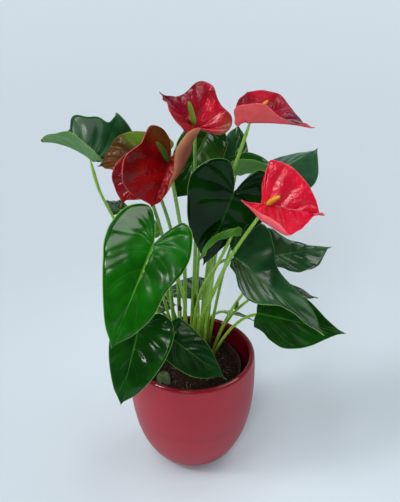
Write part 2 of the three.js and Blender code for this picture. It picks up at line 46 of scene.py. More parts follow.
MM = 0.001
VIEW_FROM = Vector((8.7, -886.5, 833.6)) * MM
VIEW_TILT = math.radians(90 - 32.3)
VIEW_REACH = 100
FOCAL_PIXELS = 1000
PHOTO_HEIGHT = 502
SENSOR = 36
FLOOR_REACH = 40.0
# Painted light and shade on the sheet: its colour is lighter near the pot, where it lifts the plant's
# cast shadow. It turns darker a little way off and lighter again far off, as the light falls on it.
SHEET_NEAR_PAINTED_LIGHT = (0.585, 0.672, 0.744, 1)
SHEET_FAR_PAINTED_SHADE = (0.485, 0.557, 0.617, 1)
SHEET_PAINTED_SHADE_REACH = (0.05, 0.5)  # metres from the pot over which the sheet turns to its far colour
SHEET_PAINTED_LIGHT_REACH = (0.8, 1.8)  # metres over which it turns back by the next share
SHEET_PAINTED_LIGHT_SHARE = 0.35
STUDIO_DARK = (0.085, 0.09, 0.095, 1)
PAPER_GLOW = (0.70, 0.80, 0.885, 1)
PAPER_STARTS = (-0.1, 0.9)  # how far back a direction points, from no glow to the whole of it
PAPER_ENDS = (0.15, 0.95)  # how far up it points, from the whole glow to none
STUDIO_STRENGTH = 0.9
LAMP_COLOR = (1.0, 0.985, 0.965)
# elevation and azimuth, softness in degrees, strength, and whether it shows in reflections
SOFTBOXES = {
    "overhead_left_softbox": (65, 58, 34, 1.2, True),
    "overhead_right_fill": (66, -50, 36, 0.4, False),
    "right_softbox": (55, -85, 30, 0.35, True),
    "left_softbox": (48, 70, 10, 0.8, True),
    "front_fill": (36, 12, 18, 0.95, False),
    "front_lamp": (46, 8, 6, 0.18, True),
    "back_right_softbox": (58, -132, 22, 0.5, True),
}


def feed(tree, socket, value):
    """A socket takes another node's output as a link, and a plain value as its own."""
    if isinstance(value, bpy.types.NodeSocket):
        tree.links.new(value, socket)
    else:
        socket.default_value = value


def add_node(tree, kind, sockets=None, **settings):
    made = tree.nodes.new("ShaderNode" + kind)
    for name, value in settings.items():
        setattr(made, name, value)
    for name, value in (sockets or {}).items():
        feed(tree, made.inputs[name], value)
    return made


def srgb(code):
    """A colour as it looks on a screen, such as 0x9e2b38, as the linear colour that the shaders use."""
    parts = [(code >> shift & 255) / 255 for shift in (16, 8, 0)]
    return (*[c / 12.92 if c <= 0.04045 else ((c + 0.055) / 1.055) ** 2.4 for c in parts], 1)


def blend(tree, share, low, high):
    """low where share is 0, high where it is 1: each is a colour, its code or a node's output."""
    low, high = (srgb(tone) if isinstance(tone, int) else tone for tone in (low, high))
    return add_node(tree, "Mix", {0: share, 6: low, 7: high}, data_type="RGBA").outputs[2]


def spread(tree, value, low, high, to_low=0.0, to_high=1.0):
    """value between low and high becomes to_low to to_high, with soft ends."""
    sockets = {0: value, 1: low, 2: high, 3: to_low, 4: to_high}
    return add_node(tree, "MapRange", sockets, interpolation_type="SMOOTHSTEP").outputs[0]


def maths(tree, operation, a, b=0.0, c=0.0):
    return add_node(tree, "Math", {0: a, 1: b, 2: c}, operation=operation).outputs[0]


def times(tree, a, b):
    return maths(tree, "MULTIPLY", a, b)


def own_space(tree):
    return add_node(tree, "TexCoord").outputs["Object"]


def new_finish(name, **own):
    """A material, its nodes and its shader's sockets. own values go on these sockets themselves."""
    material = bpy.data.materials.new(name)
    material.use_nodes = True
    tree = material.node_tree
    inputs = tree.nodes["Principled BSDF"].inputs
    for socket, value in own.items():
        inputs[socket.replace("_", " ")].default_value = value
    return material, tree, inputs


def place_camera():
    lens = bpy.data.cameras.new("photo_view")
    lens.sensor_fit = "VERTICAL"
    lens.sensor_height = SENSOR
    lens.lens = FOCAL_PIXELS / PHOTO_HEIGHT * SENSOR
    lens.clip_end = VIEW_REACH
    camera = bpy.data.objects.new("photo_view", lens)
    camera.location = VIEW_FROM
    camera.rotation_euler = (VIEW_TILT, 0, 0)
    bpy.context.scene.collection.objects.link(camera)
    bpy.context.scene.camera = camera


def lay_sheet():
    corners = [(x * FLOOR_REACH, y * FLOOR_REACH, 0) for x, y in ((-1, -1), (1, -1), (1, 1), (-1, 1))]
    sheet = bpy.data.meshes.new("seamless_sheet")
    sheet.from_pydata(corners, [], [(0, 1, 2, 3)])
    material, tree, inputs = new_finish("sheet_paper", Roughness=0.7)
    # painted light and shade: lighter over the plant's cast shadow near the pot, darker and then lighter
    # farther off
    away = add_node(tree, "VectorMath", {0: own_space(tree)}, operation="LENGTH").outputs["Value"]
    painted_light_back = spread(tree, away, *SHEET_PAINTED_LIGHT_REACH, 0.0, SHEET_PAINTED_LIGHT_SHARE)
    painted_shade = maths(tree, "SUBTRACT", spread(tree, away, *SHEET_PAINTED_SHADE_REACH), painted_light_back)
    feed(tree, inputs["Base Color"], blend(tree, painted_shade, SHEET_NEAR_PAINTED_LIGHT, SHEET_FAR_PAINTED_SHADE))
    sheet.materials.append(material)
    floor = bpy.data.objects.new("seamless_sheet", sheet)
    bpy.context.scene.collection.objects.link(floor)


def surround():
    """The studio round the plant: dark, with the glow of the paper behind."""
    world = bpy.data.worlds.new("studio")
    world.use_nodes = True
    tree = world.node_tree
    towards = add_node(tree, "SeparateXYZ", {0: add_node(tree, "TexCoord").outputs["Generated"]}).outputs
    behind = spread(tree, towards["Y"], *PAPER_STARTS)
    below = spread(tree, towards["Z"], *PAPER_ENDS, 1.0, 0.0)
    background = tree.nodes["Background"].inputs
    feed(tree, background["Color"], blend(tree, times(tree, behind, below), STUDIO_DARK, PAPER_GLOW))
    background["Strength"].default_value = STUDIO_STRENGTH
    bpy.context.scene.world = world


def soft_light(name, elevation, azimuth, softness, strength, mirrored):
    """Even light from far off. azimuth is counted from the front, with the left side at 90 degrees."""
    light = bpy.data.lights.new(name, "SUN")
    light.energy = strength
    light.angle = math.radians(softness)
    light.color = LAMP_COLOR
    lamp = bpy.data.objects.new(name, light)
    lamp.rotation_euler = Euler((math.radians(90 - elevation), 0, math.radians(-azimuth)), "XYZ")
    lamp.visible_glossy = mirrored
    bpy.context.scene.collection.objects.link(lamp)


bpy.context.scene.view_settings.view_transform = "Standard"
place_camera()
lay_sheet()
surround()
for name, light in SOFTBOXES.items():
    soft_light(name, *light)

# ------------------------------------------------------------------ the outer pot
# A slip-cast earthenware cover pot, about 6.5 mm thick, dipped in raspberry-red glaze. It is satin on
# the outer wall, and runs thicker, glossier and darker over the rounded rim and down the inside. Down
# the inside its colour is darkened further as painted shade.

POT_RADIUS = 70
POT_WALL = 6.5
POT_HEIGHT = 140
FOOT_RADIUS = 30
POT_SIDE = [
    (FOOT_RADIUS, 0), (38, 3), (47, 12), (55, 25), (61.5, 41),
    (66, 59), (69, 79), (70.4, 100), (POT_RADIUS + 0.6, 122),
]
SHOULDER = (POT_RADIUS + 0.4, 130)
WELL_FLOOR = [(18, 9), (0, 9)]
WELL_STARTS = 5  # the first point of the side that has the inner wall behind it
THICK_BELOW = 60  # mm up, from where the wall thickens towards the foot
POT_TURNS = 144
SIDE_POINTS = 41
RIM_STEPS = 12
WALL_GLAZE = (0xA22635, 0xAE303F)
POOLED_GLAZE = (0x7E0E1C, 0x941828)
INSIDE_GLAZE_AND_SHADE = 0x640A18
POOLS_ON_RIM = (0.1355, 0.1375)  # metres up
POOLS_INSIDE = (0.0690, 0.0655)  # metres from the axis
POOLS_DOWN_TO = (0.060, 0.075)  # metres up
GLAZE_ROUGHNESS = (0.40, 0.13)  # where it is thin and where it has pooled
GLAZE_COAT = (0.0, 0.35)


def spline(points, share):
    """A point of the smooth curve through points. share runs from 0 to 1, a step for each span."""
    spans = len(points) - 1
    reach = np.clip(np.asarray(share, float) * spans, 0, spans)
    i = np.minimum(reach.astype(int), spans - 1)
    w = (reach - i)[..., None]
    points = np.asarray(points, float)
    before, a = points[np.maximum(i - 1, 0)], points[i]
    b, after = points[i + 1], points[np.minimum(i + 2, spans)]
    leave, arrive = (b - before) / 2, (after - a) / 2
    cubic, square = 2 * a - 2 * b + leave + arrive, 3 * (b - a) - 2 * leave - arrive
    return (cubic * w + square) * w * w + leave * w + a


def mesh_piece(name, points, faces, finishes, uvs=None, slots=None):
    """A smooth mesh object from points in millimetres, riding on the plant."""
    mesh = bpy.data.meshes.new(name)
    mesh.from_pydata([tuple(p) for p in np.asarray(points, float) * MM], [], faces)
    for finish in finishes:
        mesh.materials.append(finish)
    if uvs is not None:
        mesh.uv_layers.new(name="blade").uv.foreach_set("vector", np.asarray(uvs, np.float32).ravel())
    if slots is not None:
        mesh.polygons.foreach_set("material_index", slots)
    mesh.polygons.foreach_set("use_smooth", [True] * len(mesh.polygons))
    mesh.update()
    piece = bpy.data.objects.new(name, mesh)
    bpy.context.scene.collection.objects.link(piece)
    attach(piece, "root")
    return piece


def around(centre, radius, angle):
    return centre[0] + radius * math.cos(angle), centre[1] + radius * math.sin(angle)


def ring_quads(rings, sides, first=0):
    """The quads between rings of points that follow each other from the point numbered first."""
    starts = [(first + ring * sides, k) for ring in range(rings - 1) for k in range(sides)]
    pairs = [(start + k, start + (k + 1) % sides) for start, k in starts]
    return [(a, b, b + sides, a + sides) for a, b in pairs]


def turned(name, profile, turns, finish, centre=(0, 0)):
    """A closed body of revolution about a vertical axis. Its profile starts and ends on that axis."""
    rings = [p for p in profile if p[0] > 0]
    angles = [2 * math.pi * k / turns for k in range(turns)]
    points = [(*around(centre, r, a), z) for r, z in rings for a in angles]
    faces = ring_quads(len(rings), turns)
    first, last = len(points), (len(rings) - 1) * turns
    points += [(*centre, profile[0][1]), (*centre, profile[-1][1])]
    faces += [(first, (k + 1) % turns, k) for k in range(turns)]
    faces += [(first + 1, last + k, last + (k + 1) % turns) for k in range(turns)]
    return mesh_piece(name, points, faces, [finish])


def inner_wall(radius, height):
    return radius - POT_WALL, height + POT_WALL * max(0, 1 - height / THICK_BELOW)


def pot_profile():
    side = [tuple(p) for p in spline(POT_SIDE, np.linspace(0, 1, SIDE_POINTS))]
    rim_centre = (POT_RADIUS - POT_WALL / 2, POT_HEIGHT - POT_WALL / 2)
    angles = [math.radians(180 * k / RIM_STEPS) for k in range(RIM_STEPS + 1)]
    rim = [around(rim_centre, POT_WALL / 2, angle) for angle in angles]
    well = [inner_wall(*p) for p in reversed(side[WELL_STARTS:])]
    return [(0, 0), (FOOT_RADIUS - 2, 0), *side, SHOULDER, *rim, *well, *WELL_FLOOR]


def cloudy(tree, scale, detail, place=None):
    """Soft noise from 0 to 1, in the object's own space unless a place is given."""
    sockets = {"Vector": place or own_space(tree), "Scale": scale, "Detail": detail}
    return add_node(tree, "TexNoise", sockets).outputs[0]


def surface(tree, inputs, color, relief, strength, depth):
    """A finish's colour, and the fine relief that is too small for its mesh."""
    feed(tree, inputs["Base Color"], color)
    bump = add_node(tree, "Bump", {"Strength": strength, "Distance": depth, "Height": relief})
    feed(tree, inputs["Normal"], bump.outputs["Normal"])


def glaze_finish():
    material, tree, inputs = new_finish("raspberry_glaze", Coat_Roughness=0.06, Specular_IOR_Level=0.3)
    place = own_space(tree)
    up = add_node(tree, "SeparateXYZ", {0: place}).outputs["Z"]
    flat = add_node(tree, "VectorMath", {0: place, 1: (1, 1, 0)}, operation="MULTIPLY").outputs[0]
    radius = add_node(tree, "VectorMath", {0: flat}, operation="LENGTH").outputs["Value"]
    inside = spread(tree, radius, *POOLS_INSIDE)
    down_inside = times(tree, inside, spread(tree, up, *POOLS_DOWN_TO))
    thick = maths(tree, "MAXIMUM", spread(tree, up, *POOLS_ON_RIM), down_inside)
    cloud = cloudy(tree, scale=26.0, detail=5.0)
    wall = blend(tree, cloud, *WALL_GLAZE)
    # inside the pot the glaze is darker, partly from pooling and partly as painted shade in the recess
    pooled_glaze_and_shade = blend(tree, inside, blend(tree, cloud, *POOLED_GLAZE), INSIDE_GLAZE_AND_SHADE)
    feed(tree, inputs["Roughness"], spread(tree, thick, 0.0, 1.0, *GLAZE_ROUGHNESS))
    feed(tree, inputs["Coat Weight"], spread(tree, thick, 0.0, 1.0, *GLAZE_COAT))
    peel = cloudy(tree, scale=420.0, detail=2.0)
    surface(tree, inputs, blend(tree, thick, wall, pooled_glaze_and_shade), peel, strength=0.10, depth=0.0004)
    return material


outer_pot = turned("outer_pot", pot_profile(), POT_TURNS, glaze_finish())
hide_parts("cachepot")

# ------------------------------------------------------------------ the nursery pot
# The grower's thin dark-brown pot of moulded polypropylene, left on the plant and set inside the outer
# pot. A short band stiffens its rim, and it rests on the outer pot's sloping inside.

NURSERY_RADIUS = 57
NURSERY_BASE_RADIUS = 42.5
NURSERY_BASE = 24
NURSERY_TOP = NURSERY_BASE + 100
NURSERY_WALL = 1.2
NURSERY_CENTRE = (-2, -1)
NURSERY_TURNS = 96
LIP = 1.6
LIP_DROP = 7
EASED = 0.3  # mm that the moulding's corners are rounded by
ROUNDED = 0.4


def nursery_profile():
    base, under_lip = NURSERY_BASE_RADIUS, NURSERY_RADIUS - LIP - 1
    outer, inner = NURSERY_RADIUS, NURSERY_RADIUS - NURSERY_WALL
    top, lip, floor = NURSERY_TOP, NURSERY_TOP - LIP_DROP, NURSERY_BASE + NURSERY_WALL
    return [
        (0, NURSERY_BASE), (base - 1, NURSERY_BASE), (base, NURSERY_BASE + 1),
        (under_lip, lip - EASED), (under_lip + EASED, lip), (outer - EASED, lip), (outer, lip + ROUNDED),
        (outer, top - ROUNDED), (outer - ROUNDED, top), (inner + EASED, top), (inner, top - ROUNDED),
        (under_lip - NURSERY_WALL, lip), (base - NURSERY_WALL, floor), (0, floor),
    ]


def nursery_finish():
    material, tree, inputs = new_finish("brown_polypropylene")
    dust = cloudy(tree, scale=70.0, detail=6.0)
    color = blend(tree, spread(tree, dust, 0.45, 0.75), 0x33201C, 0x513A30)
    feed(tree, inputs["Roughness"], spread(tree, dust, 0.3, 0.8, 0.34, 0.62))
    surface(tree, inputs, color, dust, strength=0.2, depth=0.0003)
    return material


grower_pot = turned("grower_pot", nursery_profile(), NURSERY_TURNS, nursery_finish(), NURSERY_CENTRE)
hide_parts("nursery_pot")

# ------------------------------------------------------------------ the peat
# Dark potting peat, pressed in round the crown, where it lies higher. A clod by the stalks, loose crumbs
# and pale root hairs roughen its top.

SOIL_LEVEL = 115
SOIL_MOUND = 6
SOIL_REACH = 52.5
SOIL_RINGS = 44
SOIL_TURNS = 128
SOIL_FOOT = NURSERY_BASE + 1.5
SOIL_FOOT_RADIUS = NURSERY_BASE_RADIUS - 2
LUMP_RISE = 1.3
LUMP_SCALE = 0.09
LUMP_FRACTAL = (0.8, 2.1, 5)  # dimension, lacunarity and octaves
CLOD_AT = Vector((15, 34))
CLOD_RISE = 9
CLOD_REACH = 8
CRUMBS = 900
CRUMB_SIZE = (0.35, 1.3)  # the least, and how much more the largest has
CRUMB_REACH = 0.97  # share of the peat's radius
CRUMB_ROUGH = (0.45, 1.0)  # how far out its corners are
CRUMB_STANDS = 0.4  # share of its size
CRUMB_SIDES = [(0, 2, 3, 1), (4, 5, 7, 6), (0, 1, 5, 4), (2, 6, 7, 3), (0, 4, 6, 2), (1, 3, 7, 5)]
ROOT_HAIRS = 80
HAIR_REACH = 0.9
HAIR_STEPS = 6
HAIR_SIDES = 5
HAIR_RADIUS = (0.12, 0.3)
HAIR_LENGTH = (3, 10)
HAIR_RISE = (0.4, 2.2)
HAIR_BEND = (-0.35, 0.35)  # radians a step
HAIR_CLEARS = 0.1


def ground_height(x, y):
    reach = math.hypot(x, y) / NURSERY_RADIUS
    return SOIL_LEVEL + SOIL_MOUND * max(0, 1 - reach * reach)


def peat_height(x, y):
    lumps = LUMP_RISE * noise.fractal(Vector((x, y, 0)) * LUMP_SCALE, *LUMP_FRACTAL)
    clod = CLOD_RISE * math.exp(-((Vector((x, y)) - CLOD_AT).length / CLOD_REACH) ** 2)
    return ground_height(x, y) + lumps + clod


def peat_finish():
    material, tree, inputs = new_finish("potting_peat", Roughness=0.92, Specular_IOR_Level=0.25)
    grains = cloudy(tree, scale=520.0, detail=6.0)
    dark = blend(tree, cloudy(tree, scale=60.0, detail=3.0), 0x120A08, 0x24160F)
    color = blend(tree, spread(tree, grains, 0.52, 0.72), dark, 0x472D1F)
    surface(tree, inputs, color, grains, strength=0.9, depth=0.0012)
    return material


def build_peat():
    points = [(*NURSERY_CENTRE, peat_height(*NURSERY_CENTRE))]
    for ring in range(1, SOIL_RINGS + 1):
        for k in range(SOIL_TURNS):
            x, y = around(NURSERY_CENTRE, SOIL_REACH * ring / SOIL_RINGS, 2 * math.pi * k / SOIL_TURNS)
            points.append((x, y, peat_height(x, y)))
    foot, shrink = len(points), SOIL_FOOT_RADIUS / SOIL_REACH
    for *brink, _ in points[-SOIL_TURNS:]:
        low = [centre + (v - centre) * shrink for centre, v in zip(NURSERY_CENTRE, brink)]
        points.append((*low, SOIL_FOOT))
    faces = [(0, 1 + k, 1 + (k + 1) % SOIL_TURNS) for k in range(SOIL_TURNS)]
    faces += [(a, d, c, b) for a, b, c, d in ring_quads(SOIL_RINGS + 1, SOIL_TURNS, 1)]
    faces.append(tuple(foot + k for k in reversed(range(SOIL_TURNS))))
    return mesh_piece("peat", points, faces, [peat_finish()])


def crumb(draw, at, size):
    """An irregular grain: an eight-cornered lump with its corners pushed about."""
    corners = []
    for i in range(8):
        corner = Vector([(1 if i >> axis & 1 else -1) * draw.uniform(*CRUMB_ROUGH) for axis in range(3)])
        corners.append(Vector(at) + corner * size)
    return corners, CRUMB_SIDES


def fuse(parts):
    """Several (points, faces) as one."""
    points, faces = [], []
    for own, sides in parts:
        faces += [tuple(len(points) + i for i in side) for side in sides]
        points += list(own)
    return points, faces


def scatter_crumbs():
    draw = random.Random(11)
    crumbs = []
    for _ in range(CRUMBS):
        reach = SOIL_REACH * math.sqrt(draw.random()) * CRUMB_REACH
        x, y = around(NURSERY_CENTRE, reach, draw.uniform(0, 2 * math.pi))
        size = CRUMB_SIZE[0] + CRUMB_SIZE[1] * draw.random() ** 3
        crumbs.append(crumb(draw, (x, y, peat_height(x, y) + size * CRUMB_STANDS), size))
    return mesh_piece("peat_crumbs", *fuse(crumbs), [peat_finish()])


def tube(path, radii, sides):
    """Points and faces of a round rod along a path, closed at both ends."""
    path = np.asarray(path, float)
    along = np.gradient(path, axis=0)
    along /= np.linalg.norm(along, axis=1)[:, None]
    across = np.cross(along[0], (0.3, 1, 0.2))  # any line that no path starts along
    points = []
    for centre, line, radius in zip(path, along, radii):
        across = across - line * np.dot(across, line)
        across /= np.linalg.norm(across)
        other = np.cross(line, across)
        for k in range(sides):
            angle = 2 * math.pi * k / sides
            points.append(centre + radius * (across * math.cos(angle) + other * math.sin(angle)))
    last = (len(path) - 1) * sides
    caps = [tuple(reversed(range(sides))), tuple(last + k for k in range(sides))]
    return points, ring_quads(len(path), sides) + caps


def mottled_finish(name, low, high, roughness, scale, depth):
    """A dull natural surface in two shades."""
    material, tree, inputs = new_finish(name, Roughness=roughness)
    grain = cloudy(tree, scale, detail=5.0)
    color = blend(tree, spread(tree, grain, 0.35, 0.65), low, high)
    surface(tree, inputs, color, grain, strength=0.5, depth=depth)
    return material


def scatter_root_hairs():
    draw = random.Random(5)
    hairs = []
    for _ in range(ROOT_HAIRS):
        reach = SOIL_REACH * math.sqrt(draw.random()) * HAIR_REACH
        heading = draw.uniform(0, 2 * math.pi)
        x, y = around(NURSERY_CENTRE, reach, draw.uniform(0, 2 * math.pi))
        bend, rise = draw.uniform(*HAIR_BEND), draw.uniform(*HAIR_RISE)
        length = draw.uniform(*HAIR_LENGTH)
        path = []
        for step in range(HAIR_STEPS + 1):
            arch = rise * math.sin(math.pi * step / HAIR_STEPS)
            path.append((x, y, peat_height(x, y) + arch + HAIR_CLEARS))
            x, y = around((x, y), length / HAIR_STEPS, heading)
            heading += bend
        hairs.append(tube(path, [draw.uniform(*HAIR_RADIUS)] * len(path), HAIR_SIDES))
    finish = mottled_finish("root_hair", 0x5A4232, 0x94785C, 0.8, 300.0, 0.0002)
    return mesh_piece("root_hairs", *fuse(hairs), [finish])


peat = build_peat()
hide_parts("soil")
scatter_crumbs()
scatter_root_hairs()

# ------------------------------------------------------------------ the leaves
# Tough, glossy heart-shaped blades, each held out by its own round leaf stalk from the crown. Ribs run
# out through the lobes and from the midrib to the margin, and the blade swells between them.

# Half outlines from the notch round the lobe to the tip: across in shares of the half width, and along
# in shares of the lobe's length behind the stalk or of the blade's length in front of it.
OUTLINES = {
    "cordate": [
        (0, 0), (0.13, -0.5), (0.42, -1), (0.8, -0.8), (1, -0.05),
        (0.96, 0.27), (0.74, 0.56), (0.4, 0.82), (0.1, 0.95), (0, 1),
    ],
    "ovate": [
        (0, 0), (0.2, -0.6), (0.5, -1), (0.82, -0.5), (0.98, 0.14),
        (1, 0.34), (0.86, 0.6), (0.5, 0.84), (0.12, 0.96), (0, 1),
    ],
    "waisted": [
        (0, 0), (0.13, -0.5), (0.42, -1), (0.84, -0.8), (1, -0.1),
        (0.84, 0.18), (0.56, 0.4), (0.36, 0.64), (0.14, 0.88), (0, 1),
    ],
    "shouldered": [
        (0, 0), (0.2, -0.6), (0.55, -1), (0.86, -0.7), (1, 0.05),
        (0.98, 0.36), (0.74, 0.62), (0.34, 0.7), (0.12, 0.86), (0, 1),
    ],
    "round": [
        (0, 0), (0.2, -0.7), (0.5, -1), (0.84, -0.7), (1, 0.08),
        (1, 0.42), (0.84, 0.72), (0.5, 0.92), (0.12, 0.98), (0, 1.03),
    ],
    "slim_lobed": [
        (0, 0), (0.08, -0.6), (0.2, -1), (0.34, -0.7), (0.6, -0.1),
        (0.92, 0.3), (1, 0.5), (0.8, 0.74), (0.34, 0.94), (0, 1),
    ],
    "lobeless": [
        (0, 0), (0.25, -0.4), (0.54, 0.05), (0.82, 0.2), (1, 0.35),
        (0.92, 0.5), (0.7, 0.65), (0.38, 0.79), (0.12, 0.91), (0, 1),
    ],
    "blunt": [
        (0, 0), (0.2, -0.6), (0.5, -1), (0.84, -0.6), (0.98, 0.1),
        (1, 0.4), (0.94, 0.66), (0.72, 0.84), (0.34, 0.94), (0, 1),
    ],
}
VEINS_LEAVE_MIDRIB = 0.42
VEIN_ARCH = 0.07
SEAT = 3.5
HEM_FROM = 0.67  # share of the way to the margin at which a margin that rolls over starts to
CUSP_FROM = 0.93  # share of the way to the tip at which it is drawn out
RIPPLES = 7.3
TINY = 1e-6  # stands in for nothing where a length or a turn is divided by
UNEVEN_SCALE = 0.075
MARGIN_THINS = 0.55
RIB_NARROWS = 26
RIB_RELIEF = (0.25, 1.5)  # shares of the thickness, above and below
VEIN_RELIEF = 0.5
COLLECTOR_AT = 0.9  # share of the way to the margin at which a vein runs along it
COLLECTOR_FADES = (0.0, 0.02)
RIB_FADES = (0.012, 0.05)  # shares of the way from the midrib to the margin
MARGIN_STARTS = (0.98, 0.995)
VEIN_WEAKENS = (0.55, 1.0)
VEIN_FADES = (0.0, 0.035)  # shares of the way from one side vein to the next
SWELL_RISES = (0.0, 0.35)
GLOW_DEPTH = 0.004  # metres that light travels inside a petal
PETIOLE_RADIUS = 1.7
PETIOLE_KNEE = 0.22
KNEE_AT = 0.93
KNEE_REACH = 0.045
ROOT_DEPTH = 22
ROUTE_STEPS = 40
STALK_STEPS = 70
STALK_SIDES = 16
STALK_TAPER = (1.15, 0.3)  # the foot's share of the radius, and what it loses on its way up
STALK_FOOT = np.linspace(1.25, 1.05, STALK_STEPS // 12)  # how much thicker its first steps are
STALK_TIP = (0.9, 0.7, 0.35)  # how its last steps round off
ROOT_DRAWN_IN = 0.9  # share of its distance from the axis that its end in the peat keeps
STALK_REDDENS = (0.118, 0.165)  # metres up, from the foot's colour to the stalk's own


def arc(u, a, k):
    """Where a length u lies on a line that starts at slope a and turns by k per unit."""
    k = np.where(np.abs(k) < TINY, TINY, k)
    return (np.sin(a + k * u) - np.sin(a)) / k, (np.cos(a) - np.cos(a + k * u)) / k


def margin_strength(form, key, side, s):
    """Each bend or roll, and its strength at s, which is most at its place on its side's margin."""
    for own_side, at, reach, *what in form[key]:
        yield np.exp(-(((s - at) / reach) ** 2)) * (side == own_side), np.array(what, float)


def blade_points(form, side, s, t):
    """The middle surface. s runs from the notch to the tip and t from the midrib to the margin."""

    def pick(name):
        value = form[name]
        return value[0 if side < 0 else 1] if isinstance(value, tuple) else value

    half_width, lobe, length = pick("width"), pick("lobe"), form["length"]
    margin = spline(OUTLINES[pick("outline")], s)
    margin_y = margin[..., 1] * np.where(margin[..., 1] < 0, lobe, length)
    start = np.maximum(0, (s - VEINS_LEAVE_MIDRIB) / (1 - VEINS_LEAVE_MIDRIB)) ** 1.3 * length
    across, along = margin[..., 0] * half_width * t, start + (margin_y - start) * t
    along = along + form["cusp"] * np.clip((s - CUSP_FROM) / (1 - CUSP_FROM), 0, 1) ** 2

    fold, curl = math.radians(pick("fold")), math.radians(pick("curl")) / half_width
    to_margin = margin[..., 0] * half_width
    hem = HEM_FROM * to_margin
    rolls = margin_strength(form, "rolls", side, s)
    roll = sum(strength * math.radians(turn[0]) for strength, turn in rolls)
    flat, over = np.minimum(across, hem), np.maximum(across - hem, 0)
    x, z = arc(flat, fold, curl)
    over_x, over_z = arc(over, fold + curl * hem, curl + roll / np.maximum(to_margin - hem, TINY))
    x, z = x + over_x, z + over_z
    z = z + form["wave"] * t * t * np.sin(2 * math.pi * form["waves"] * s + side * form["phase"])
    z = z + form["ripple"] * t**4 * np.sin(2 * math.pi * RIPPLES * s + 2.1 * side + 3 * form["phase"])
    x = x * side
    twist = math.radians(form["twist"]) * (along / length)
    x, z = x * np.cos(twist) + z * np.sin(twist), z * np.cos(twist) - x * np.sin(twist)

    behind = along < 0
    turn = np.where(behind, math.radians(pick("lift")) / lobe, -math.radians(form["droop"]) / length)
    turn = np.where(np.abs(turn) < TINY, TINY, turn)
    slope = turn * np.abs(along)
    run, rise = np.sin(slope) / turn, (1 - np.cos(slope)) / turn
    forward = run - np.sin(slope) * z
    return np.stack([x, np.where(behind, -forward, forward), rise + np.cos(slope) * z], axis=-1)


def vein_distance(form, s, t):
    """0 on a side vein and 1 halfway between two."""
    phase = (s - VEIN_ARCH * t * t) * form["veins"]
    return np.abs(phase - np.floor(phase) - 0.5) * 2


def point_normals(points, faces):
    corners = points[faces]
    normal = np.cross(corners[:, 2] - corners[:, 0], corners[:, 3] - corners[:, 1])
    total = np.zeros_like(points)
    for corner in range(4):
        np.add.at(total, faces[:, corner], normal)
    return total / np.maximum(np.linalg.norm(total, axis=1), 1e-9)[:, None]


def placed(form, points):
    """Points of the blade's own frame, in the plant's."""
    spin = Matrix.Rotation(math.radians(form["heading"]), 3, "Z")
    tip_up = Matrix.Rotation(math.radians(form["pitch"]), 3, "X")
    lean = Matrix.Rotation(math.radians(form["roll"]), 3, "Y")
    return np.asarray(points) @ np.array(spin @ tip_up @ lean).T + np.array(form["at"])


def pulled(form, side, s, t):
    """How far a blade's own bends move its points."""
    moved = np.zeros((len(s), 3))
    for strength, way in margin_strength(form, "bends", side, s):
        moved += (strength * t * t)[:, None] * way
    return moved


def blade_net(rows, cols):
    """Each knot's point, by (row, column). Those at the stalk share one, and so do those at the tip."""
    spot, used, ids = {}, [], {}
    for i in range(rows + 1):
        for j in range(-cols, cols + 1):
            at_stalk = i == 0 or (j == 0 and i / rows <= VEINS_LEAVE_MIDRIB)
            key = "stalk" if at_stalk else "tip" if i == rows else (i, j)
            if key not in ids:
                ids[key] = len(used)
                used.append((i, j))
            spot[i, j] = ids[key]
    return spot, used


def swollen(form, middle, quads, s, t):
    """The middle surface, raised between the blade's veins and a little uneven all over."""
    normals = point_normals(middle, quads)
    swell = np.sin(math.pi / 2 * vein_distance(form, s, t)) ** 0.9
    # it fades out to the midrib, the margin, the tip and the notch
    fade = np.sin(math.pi * np.clip(t, 0, 1) ** 0.8) * np.clip((1 - s) * 5, 0, 1) * np.clip(s * 8, 0, 1)
    middle = middle + normals * (form["swell"] * swell * fade)[:, None]
    shift = Vector((form["phase"] * 9, 0, 0))
    uneven = np.array([noise.noise(Vector(p) * UNEVEN_SCALE + shift) for p in middle])
    return middle + normals * (form["uneven"] * uneven * np.clip(t * 3, 0, 1))[:, None]


def skins(form, middle, normals, s, t):
    """The upper and the lower side's points. The ribs sink into the upper side and stand out below."""
    half = form["thickness"] / 2 * (1 - MARGIN_THINS * t**3)
    rib = np.exp(-((t * RIB_NARROWS) ** 2)) * np.clip((1 - s) * 1.6, 0.1, 1)
    vein = np.clip(1 - vein_distance(form, s, t) * 5, 0, 1) * (1 - t) * 0.35
    rib_above, rib_below = RIB_RELIEF
    above = half - rib_above * rib * form["thickness"]
    below = half + (rib_below * rib + VEIN_RELIEF * vein) * form["thickness"]
    return np.concatenate([middle + normals * above[:, None], middle - normals * below[:, None]])


def blade_rim(rows, cols):
    """The margin's knots, from the notch round the right side to the tip and back round the left."""
    right = [(1, j) for j in range(cols)] + [(i, cols) for i in range(1, rows)]
    return right + [(i, -cols) for i in range(rows, 1, -1)] + [(1, -j) for j in range(cols, 0, -1)]


